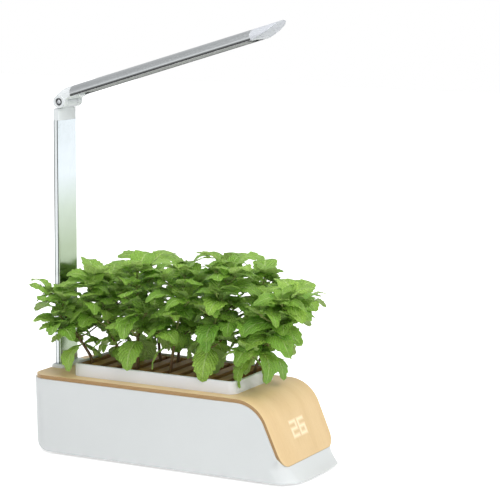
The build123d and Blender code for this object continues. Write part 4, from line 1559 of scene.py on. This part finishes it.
    def _axil(
        self, bm: bmesh.types.BMesh, rng: random.Random, number: int, base: Vector, turn: float
    ) -> None:
        """Add small leaves that sprout between two large ones.

        Args:
            bm: Mesh of the plant.
            rng: Source of the draws.
            number: Number of the plant.
            base: Foot of the leaves.
            turn: Heading that they swing about.
        """
        size = self.size
        for half_turn in (0, 180):
            out = turn + half_turn + rng.uniform(-size.axil_swing, size.axil_swing)
            pitch = rng.uniform(0, size.axil_pitch)
            long = self._length(number, base, out, pitch, rng.uniform(*size.axil_shares))
            if long:
                self._leaf(bm, rng, base, out, pitch, long, self.ranges.axil)

    def _crown(self, bm: bmesh.types.BMesh, rng: random.Random, tip: Vector, turn: float) -> None:
        """Add small young leaves at the end of a stem or shoot.

        Args:
            bm: Mesh of the plant.
            rng: Source of the draws.
            tip: End of the stem or shoot.
            turn: Heading of the first leaf.
        """
        for level, (long, pitch) in enumerate(self.size.crown):
            for half_turn in (0, 180):
                self._leaf(bm, rng, tip, turn + level * 90 + half_turn, pitch, long, self.ranges.crown)

    def _leaf(
        self,
        bm: bmesh.types.BMesh,
        rng: random.Random,
        base: Vector,
        turn: float,
        pitch: float,
        long: float,
        age: float,
    ) -> None:
        """Add one leaf with its own bend and tint.

        Args:
            bm: Mesh of the plant.
            rng: Source of the draws.
            base: Foot of the leaf.
            turn: Its heading.
            pitch: Its angle above level.
            long: Its length.
            age: Share of the young colour.
        """
        ranges = self.ranges
        Blade(
            base=base * MM,
            turn=math.radians(turn),
            pitch=math.radians(pitch),
            length=long * MM * rng.uniform(*ranges.longer),
            arch=rng.uniform(*ranges.arch),
            droop=rng.uniform(*ranges.droop),
            fold=rng.uniform(*ranges.fold),
            roll=rng.uniform(*ranges.roll),
            tint=min(1.0, max(0.0, rng.gauss(*ranges.tint))),
            age=age * rng.uniform(*ranges.age),
        ).add(bm, self.template, self.waves)


@dataclass(frozen=True)
class FibreBlock:
    """Growing medium with an uneven, loose top, in metres."""

    node: str = "growing_medium"
    corner: float = 0.006
    corner_segments: int = 4
    rounds: int = 5
    cell: float = 0.004
    lump: float = 0.0022
    lump_scale: float = 160.0
    crumb: float = 0.0011
    crumb_scale: float = 600.0
    skin: float = 0.0001

    def build(self, paint: Paint) -> None:
        """Make the block and let it stand for the CAD solid.

        Args:
            paint: Source of the materials.
        """
        low, high = (Vector(corner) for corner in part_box(self.node))
        size = high - low
        bm = bmesh.new()
        bmesh.ops.create_cube(bm, size=1.0)
        fitted = Matrix.Translation((low + high) / 2) @ Matrix.Diagonal((*size, 1))
        bmesh.ops.transform(bm, matrix=fitted, verts=bm.verts)
        upright = [e for e in bm.edges if abs(e.verts[0].co.z - e.verts[1].co.z) > size.z / 2]
        bmesh.ops.bevel(
            bm, geom=upright, offset=self.corner, segments=self.corner_segments,
            affect="EDGES", profile=0.5, material=-1,
        )
        bmesh.ops.triangulate(bm, faces=[f for f in bm.faces if f.normal.z > 0.9])
        for _ in range(self.rounds):
            edges = {e for f in bm.faces if f.normal.z > 0.9 for e in f.edges}
            wide = [e for e in edges if e.calc_length() > self.cell]
            bmesh.ops.subdivide_edges(bm, edges=wide, cuts=1, use_grid_fill=True)
        for vert in bm.verts:
            if vert.co.z > high.z - self.skin:
                drop = self.lump * abs(noise.noise(vert.co * self.lump_scale))
                vert.co.z -= drop + self.crumb * abs(noise.noise(vert.co * self.crumb_scale))
        smooth(bm)
        obj = new_object("growing_fibre", bm, [paint.get(Finish.SOIL)])
        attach(obj, "tray")
        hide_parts(self.node)


@dataclass(frozen=True)
class Reshaped:
    """How a copy of a CAD mesh is joined, cut and shaded, in metres and radians."""

    join: float = 0.00001
    cut: float = 0.000001
    crease: float = math.radians(28)

    def joined_copy(self, node: str) -> bmesh.types.BMesh:
        """Copy a CAD node's mesh and join its loose triangles.

        Args:
            node: Name of the node.

        Returns:
            The joined mesh.
        """
        bm = bmesh.new()
        bm.from_mesh(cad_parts[node].data)
        bmesh.ops.remove_doubles(bm, verts=bm.verts, dist=self.join)
        return bm

    def cut_across(
        self, bm: bmesh.types.BMesh, start: float, planes: Iterable[tuple[Vector, Vector]]
    ) -> None:
        """Cut a mesh along planes where it lies beyond a start in X.

        Args:
            bm: Mesh to cut.
            start: Lowest X of the faces that are cut.
            planes: Point and normal of each plane.
        """
        faces = [f for f in bm.faces if max(v.co.x for v in f.verts) > start]
        geom = [*{v for f in faces for v in f.verts}, *{e for f in faces for e in f.edges}, *faces]
        for point, normal in planes:
            made = bmesh.ops.bisect_plane(bm, geom=geom, dist=self.cut, plane_co=point, plane_no=normal)
            geom = made["geom"]
        bmesh.ops.triangulate(bm, faces=bm.faces)

    def keep_creases(self, bm: bmesh.types.BMesh) -> None:
        """Shade smooth and keep the sharp edges sharp."""
        smooth(bm)
        for edge in bm.edges:
            edge.smooth = len(edge.link_faces) == 2 and edge.calc_face_angle(0.0) < self.crease


def across_x(x: float) -> tuple[Vector, Vector]:
    """Plane square to X, as a point and a normal."""
    return Vector((x, 0, 0)), Vector((1, 0, 0))


def across_y(y: float) -> tuple[Vector, Vector]:
    """Plane square to Y, as a point and a normal."""
    return Vector((0, y, 0)), Vector((0, 1, 0))


def round_corner(along: float, across: float, radius: float) -> tuple[float, float]:
    """Draw a point of a square corner into a round one.

    Args:
        along: Distance from the corner's centre towards the end.
        across: Distance from the corner's centre towards the side.
        radius: Radius of the corner.

    Returns:
        Both distances of the moved point.
    """
    if min(along, across, radius) <= 0:
        return along, across
    limit = 2 * radius * radius
    end = along * math.sqrt(max(0.0, 1 - across * across / limit))
    side = across * math.sqrt(max(0.0, 1 - along * along / limit))
    return end, side


@dataclass(frozen=True)
class RoundedToe(Reshaped):
    """Toe of the housing, bowed in plan and round at its corners."""

    top_z: float = 0.034
    full_z: float = 0.018
    foot_z: float = 0.003
    radius: float = 0.020
    lip_middle: float = 1.35
    lip_corner: float = 0.12
    lip_power: float = 2.4
    slope_x: float = 0.126
    slope_z: float = 0.0947
    lean: float = 1 / math.tan(NOSE_SLOPE)
    flare_z: float = 0.01166
    flare: float = 1.02
    rim_half: float = 0.070
    rim_z: float = 0.0905
    draft: float = math.tan(math.radians(1.5))
    step: float = 0.002
    wide_step: float = 0.006
    levels: int = 10
    spare: int = 3

    def build(self, paint: Paint) -> None:
        """Make the housing and its closing plate with the rounded toe.

        Args:
            paint: Source of the materials.
        """
        for node, name, slot, finish in (
            ("outer_shell", "housing_shell", "housing", Finish.HOUSING),
            ("base_plate", "closing_plate", "inner_plastic", Finish.INNER),
        ):
            bm = self.joined_copy(node)
            self.cut_across(bm, self._slope(self.top_z) - self.radius, self._planes())
            for vert in bm.verts:
                self._bend(vert)
            self.keep_creases(bm)
            obj = new_object(name, bm, [paint.get(finish)])
            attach(obj, "base")
            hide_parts(node)

    def _slope(self, z: float) -> float:
        """X of the straight slope of the nose at a height."""
        return self.slope_x + (self.slope_z - z) * self.lean

    def _planes(self) -> list[tuple[Vector, Vector]]:
        """Lay out the cuts that let the toe and its corners bend.

        Returns:
            Point and normal of each plane.
        """
        start = self._slope(self.top_z) - self.radius
        end = self._slope(self.foot_z) + self.flare_z
        close = int(self.radius / self.step) + self.spare
        ys = [self.rim_half - number * self.step for number in range(close)]
        ys += [number * self.wide_step for number in range(int(ys[-1] / self.wide_step))]
        high = self.top_z - self.foot_z
        zs = [self.foot_z + high * (number + 0.5) / self.levels for number in range(self.levels)]
        planes = [across_x(start + number * self.step) for number in range(int((end - start) / self.step))]
        planes += [across_y(side * y) for y in ys for side in (-1, 1)]
        return planes + [(Vector((0, 0, z)), Vector((0, 0, 1))) for z in zs]

    def _bend(self, vert: bmesh.types.BMVert) -> None:
        """Bow the lip and draw a corner round at one point.

        Args:
            vert: Point of the housing or the plate.
        """
        x, y, z = vert.co
        slope = self._slope(z)
        side = self.rim_half - (self.rim_z - z) * self.draft
        lip_drop = self.lip_middle - self.lip_corner
        if x > slope:
            x = slope + (x - slope) * (self.lip_middle - lip_drop * min(1.0, abs(y) / side) ** self.lip_power)
        share = max(0.0, min(1.0, (self.top_z - z) / (self.top_z - self.full_z)))
        radius = self.radius * share * share * (3 - 2 * share)
        end = slope + max(0.0, self.flare_z - z) * self.flare * self.lip_corner - radius
        half = side - radius
        along, across = round_corner(x - end, abs(y) - half, radius)
        vert.co.x = end + along
        vert.co.y = math.copysign(half + across, y) if abs(y) > half else y


@dataclass(frozen=True)
class RoundedEndCap(Reshaped):
    """End cap of the lamp arm: u runs along the arm from the hinge, v across it and w up."""

    rear_u: float = 0.268
    low_u: float = 0.281
    tip_u: float = 0.3068
    low_w: float = 0.0026
    high_w: float = 0.0154
    half: float = 0.0189
    radius: float = 0.010
    step: float = 0.0012
    belly: float = 0.0046
    heel: float = 0.0035
    nip: float = 0.0036
    nip_power: int = 6

    def build(self, paint: Paint) -> None:
        """Make the cap.

        Args:
            paint: Source of the materials.
        """
        turn = Matrix.Translation((HINGE_X, 0, HINGE_Z)) @ Matrix.Rotation(-ARM_TURN, 4, "Y")
        bm = self.joined_copy("arm_end_cap")
        bmesh.ops.transform(bm, matrix=turn.inverted(), verts=bm.verts)
        long = self.tip_u - self.low_u + self.radius
        planes = [across_x(self.tip_u - number * self.step) for number in range(int(long / self.step) + 1)]
        for number in range(int(self.radius / self.step) + 1):
            planes += [across_y(side * (self.half - number * self.step)) for side in (-1, 1)]
        self.cut_across(bm, self.low_u - self.radius, planes)
        for vert in bm.verts:
            self._bend(vert)
        bmesh.ops.transform(bm, matrix=turn, verts=bm.verts)
        self.keep_creases(bm)
        obj = new_object("lamp_end_cap", bm, [paint.get(Finish.END_CAP)])
        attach(obj, "arm")
        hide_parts("arm_end_cap")

    def _bend(self, vert: bmesh.types.BMVert) -> None:
        """Fill the slanting face out and draw its corners round at one point.

        Args:
            vert: Point of the cap.
        """
        u, v, w = vert.co
        share = max(0.0, min(1.0, (w - self.low_w) / (self.high_w - self.low_w)))
        face = self.low_u + (self.tip_u - self.low_u) * share
        reach = max(0.0, (u - self.rear_u) / (face - self.rear_u))
        full = self.belly * math.sin(math.pi * share) - self.heel * (1 - share) ** 2
        full -= self.nip * share ** self.nip_power
        u += full * reach ** 2
        end = face + full - self.radius
        side = self.half - self.radius
        along, across = round_corner(u - end, abs(v) - side, self.radius)
        vert.co.x = end + along
        vert.co.y = math.copysign(side + across, v) if abs(v) > side else v


@dataclass(frozen=True)
class SoftLight:
    """Soft rectangular light, in metres and watts."""

    name: str
    place: tuple[float, float, float]
    long: float
    wide: float
    power: float

    def hang(self, target: Vector) -> None:
        """Put the light in the scene.

        Args:
            target: Point that it faces.
        """
        data = bpy.data.lights.new(self.name, "AREA")
        data.shape = "RECTANGLE"
        data.size, data.size_y = self.long, self.wide
        data.energy = self.power
        light = bpy.data.objects.new(self.name, data)
        light.location = self.place
        light.rotation_euler = (target - Vector(self.place)).to_track_quat("-Z", "Y").to_euler()
        bpy.context.scene.collection.objects.link(light)


@dataclass(frozen=True)
class Studio:
    """Floor, lights, world and camera."""

    place: tuple[float, float, float] = (1.1168, -1.9625, 0.5871)
    azimuth: float = math.radians(27.839)
    elevation: float = math.radians(8.549)
    roll: float = math.radians(0.329)
    lens: float = 141.36
    sensor: float = 36.0
    near: float = 0.1
    far: float = 50.0
    air: Colour = (0.97, 0.985, 1.0)
    horizon: float = 0.92
    zenith: float = 0.36
    lit_z: float = 0.18
    floor_half: float = 6.0
    floor_dark: Colour = (0.8, 0.8, 0.8)
    floor_light: Colour = (0.82, 0.82, 0.82)
    floor_grain: float = 40.0
    floor_rough: float = 0.9
    pool_inner: float = 0.3
    pool_outer: float = 1.2
    pool_glow: float = 0.6
    lights: tuple[SoftLight, ...] = (
        SoftLight("key", (1.3, -0.5, 1.5), 1.2, 1.2, 20.5),
        SoftLight("side", (-0.3, -1.9, 0.9), 1.6, 1.0, 3.0),
        SoftLight("top", (-0.1, -0.35, 1.7), 1.1, 0.7, 8.0),
    )

    def build(self) -> None:
        """Set the whole studio up."""
        self._world()
        self._floor()
        for light in self.lights:
            light.hang(Vector((0.0, 0.0, self.lit_z)))
        self._camera()
        scene = bpy.context.scene
        scene.view_settings.view_transform = "Standard"
        scene.view_settings.look = "None"
        LOG.info("built studio")

    def _world(self) -> None:
        """White world, dimmer for light than for the camera."""
        world = bpy.data.worlds.new("studio")
        bpy.context.scene.world = world
        world.use_nodes = True
        tree = world.node_tree
        tree.nodes.clear()
        out = tree.nodes.new("ShaderNodeOutputWorld")
        path = tree.nodes.new("ShaderNodeLightPath")
        way = tree.nodes.new("ShaderNodeTexCoord")
        parts = tree.nodes.new("ShaderNodeSeparateXYZ")
        height = tree.nodes.new("ShaderNodeMapRange")
        height.inputs["To Min"].default_value = self.horizon
        height.inputs["To Max"].default_value = self.zenith
        soft = tree.nodes.new("ShaderNodeBackground")
        soft.inputs["Color"].default_value = (*self.air, 1.0)
        plain = tree.nodes.new("ShaderNodeBackground")
        plain.inputs["Color"].default_value = (*WHITE, 1.0)
        plain.inputs["Strength"].default_value = 1.0
        blend = tree.nodes.new("ShaderNodeMixShader")
        for source, target in (
            (way.outputs["Generated"], parts.inputs[0]),
            (parts.outputs["Z"], height.inputs["Value"]),
            (height.outputs[0], soft.inputs["Strength"]),
            (path.outputs["Is Camera Ray"], blend.inputs[0]),
            (soft.outputs[0], blend.inputs[1]),
            (plain.outputs[0], blend.inputs[2]),
            (blend.outputs[0], out.inputs[0]),
        ):
            tree.links.new(source, target)

    def _floor(self) -> None:
        """Plain pale floor that keeps the shadow."""
        bm = bmesh.new()
        bmesh.ops.create_grid(bm, x_segments=1, y_segments=1, size=self.floor_half)
        g = Graph("floor_pale")
        path = g.add("LightPath")
        seen = g.math("MAXIMUM", path.outputs["Is Camera Ray"], path.outputs["Is Glossy Ray"])
        x, y, _ = g.parts(g.point)
        pool = g.spread(g.reach(x, y), self.pool_inner, self.pool_outer, self.pool_glow, 1.0)
        grain = g.noise(g.place(EVEN), self.floor_grain, 3.0)
        g.put("Base Color", g.mix(grain, self.floor_dark, self.floor_light))
        g.put("Roughness", self.floor_rough)
        g.put("Emission Color", WHITE)
        g.put("Emission Strength", g.product(seen, pool))
        floor = new_object("floor", bm, [g.material])

    def _camera(self) -> None:
        """Camera of the photograph."""
        az, el = self.azimuth, self.elevation
        back = Vector((math.sin(az) * math.cos(el), -math.cos(az) * math.cos(el), math.sin(el)))
        right = Vector((math.cos(az), math.sin(az), 0))
        up = back.cross(right)
        across = right * math.cos(self.roll) + up * math.sin(self.roll)
        upward = up * math.cos(self.roll) - right * math.sin(self.roll)
        data = bpy.data.cameras.new("photo_camera")
        data.sensor_width = self.sensor
        data.lens = self.lens
        data.clip_start, data.clip_end = self.near, self.far
        camera = bpy.data.objects.new("photo_camera", data)
        turned = Matrix((across, upward, back)).transposed().to_4x4()
        camera.matrix_world = Matrix.Translation(self.place) @ turned
        bpy.context.scene.collection.objects.link(camera)
        bpy.context.scene.camera = camera


@dataclass(frozen=True)
class SubAssembly:
    """CAD nodes of one sub-assembly and the finish of each."""

    name: str
    nodes: dict[str, Finish]

    def dress(self, paint: Paint) -> None:
        """Give each node its finish.

        Args:
            paint: Source of the materials.
        """
        for node, finish in self.nodes.items():
            paint.node(node, finish)
            LOG.info("dressed %s of the %s", node, self.name)

    def build(self, paint: Paint) -> None:
        """Add no piece, because all of them are CAD nodes."""


@dataclass(frozen=True)
class Housing(SubAssembly):
    """Housing with its bent cover, inlet, display and electronics."""

    name: str = "housing"
    nodes: dict[str, Finish] = field(default_factory=lambda: {
        "wood_cover": Finish.BAMBOO,
        "base_screws": Finish.STEEL,
        "rubber_feet": Finish.FOOT,
        "dc_inlet": Finish.INLET,
        "display_module": Finish.DISPLAY,
        "display_board": Finish.BOARD,
        "control_board": Finish.BOARD,
        "board_screws": Finish.STEEL,
    })
    toe: RoundedToe = RoundedToe()

    def build(self, paint: Paint) -> None:
        """Make the shell and the closing plate."""
        self.toe.build(paint)


@dataclass(frozen=True)
class Water(SubAssembly):
    """Tank with its pump and level float."""

    name: str = "water tank"
    nodes: dict[str, Finish] = field(default_factory=lambda: {
        "water_tank": Finish.TANK,
        "water_pump": Finish.PUMP,
        "float_stem": Finish.INNER,
        "level_float": Finish.FLOAT,
    })


@dataclass(frozen=True)
class Tray(SubAssembly):
    """Planting tray with its slats, growing medium and plants."""

    name: str = "tray"
    nodes: dict[str, Finish] = field(default_factory=lambda: {
        "planting_tray": Finish.TRAY,
        "slat_grid": Finish.SLAT,
    })
    fibre: FibreBlock = FibreBlock()
    canopy: Canopy = Canopy()
    ranges: LeafRanges = LeafRanges()
    waves: LeafWaves = LeafWaves()

    def build(self, paint: Paint) -> None:
        """Make the growing medium and the plants."""
        self.fibre.build(paint)
        MintBed(paint, self.canopy, self.ranges, self.waves).build()


@dataclass(frozen=True)
class Mast(SubAssembly):
    """Mast with its socket, polished strip, cap and cable."""

    name: str = "mast"
    nodes: dict[str, Finish] = field(default_factory=lambda: {
        "mast_collar": Finish.LAMP,
        "mast_socket": Finish.INNER,
        "socket_screws": Finish.STEEL,
        "mast_extrusion": Finish.MAST,
        "mast_face_plate": Finish.MIRROR,
        "lamp_cable": Finish.CABLE,
        "mast_cap": Finish.LAMP,
    })


@dataclass(frozen=True)
class Arm(SubAssembly):
    """Lamp arm with its hinge and lights."""

    name: str = "arm"
    nodes: dict[str, Finish] = field(default_factory=lambda: {
        "arm_knuckle": Finish.LAMP,
        "hinge_bolt": Finish.BOLT,
        "hinge_nut": Finish.HINGE,
        "friction_washers": Finish.WASHER,
        "arm_extrusion": Finish.ARM,
        "led_board": Finish.BOARD,
        "leds": Finish.LED,
        "diffuser": Finish.DIFFUSER_IN_SHADE,
        "arm_screws": Finish.STEEL,
    })
    cap: RoundedEndCap = RoundedEndCap()

    def build(self, paint: Paint) -> None:
        """Make the end cap."""
        self.cap.build(paint)


def main() -> None:
    """Dress the planter and set the studio up."""
    logging.basicConfig(level=logging.INFO)
    paint = Paint()
    for part in (Tray(), Housing(), Water(), Mast(), Arm()):
        part.dress(paint)
        part.build(paint)
    Studio().build()


if __name__ == "__main__":
    main()
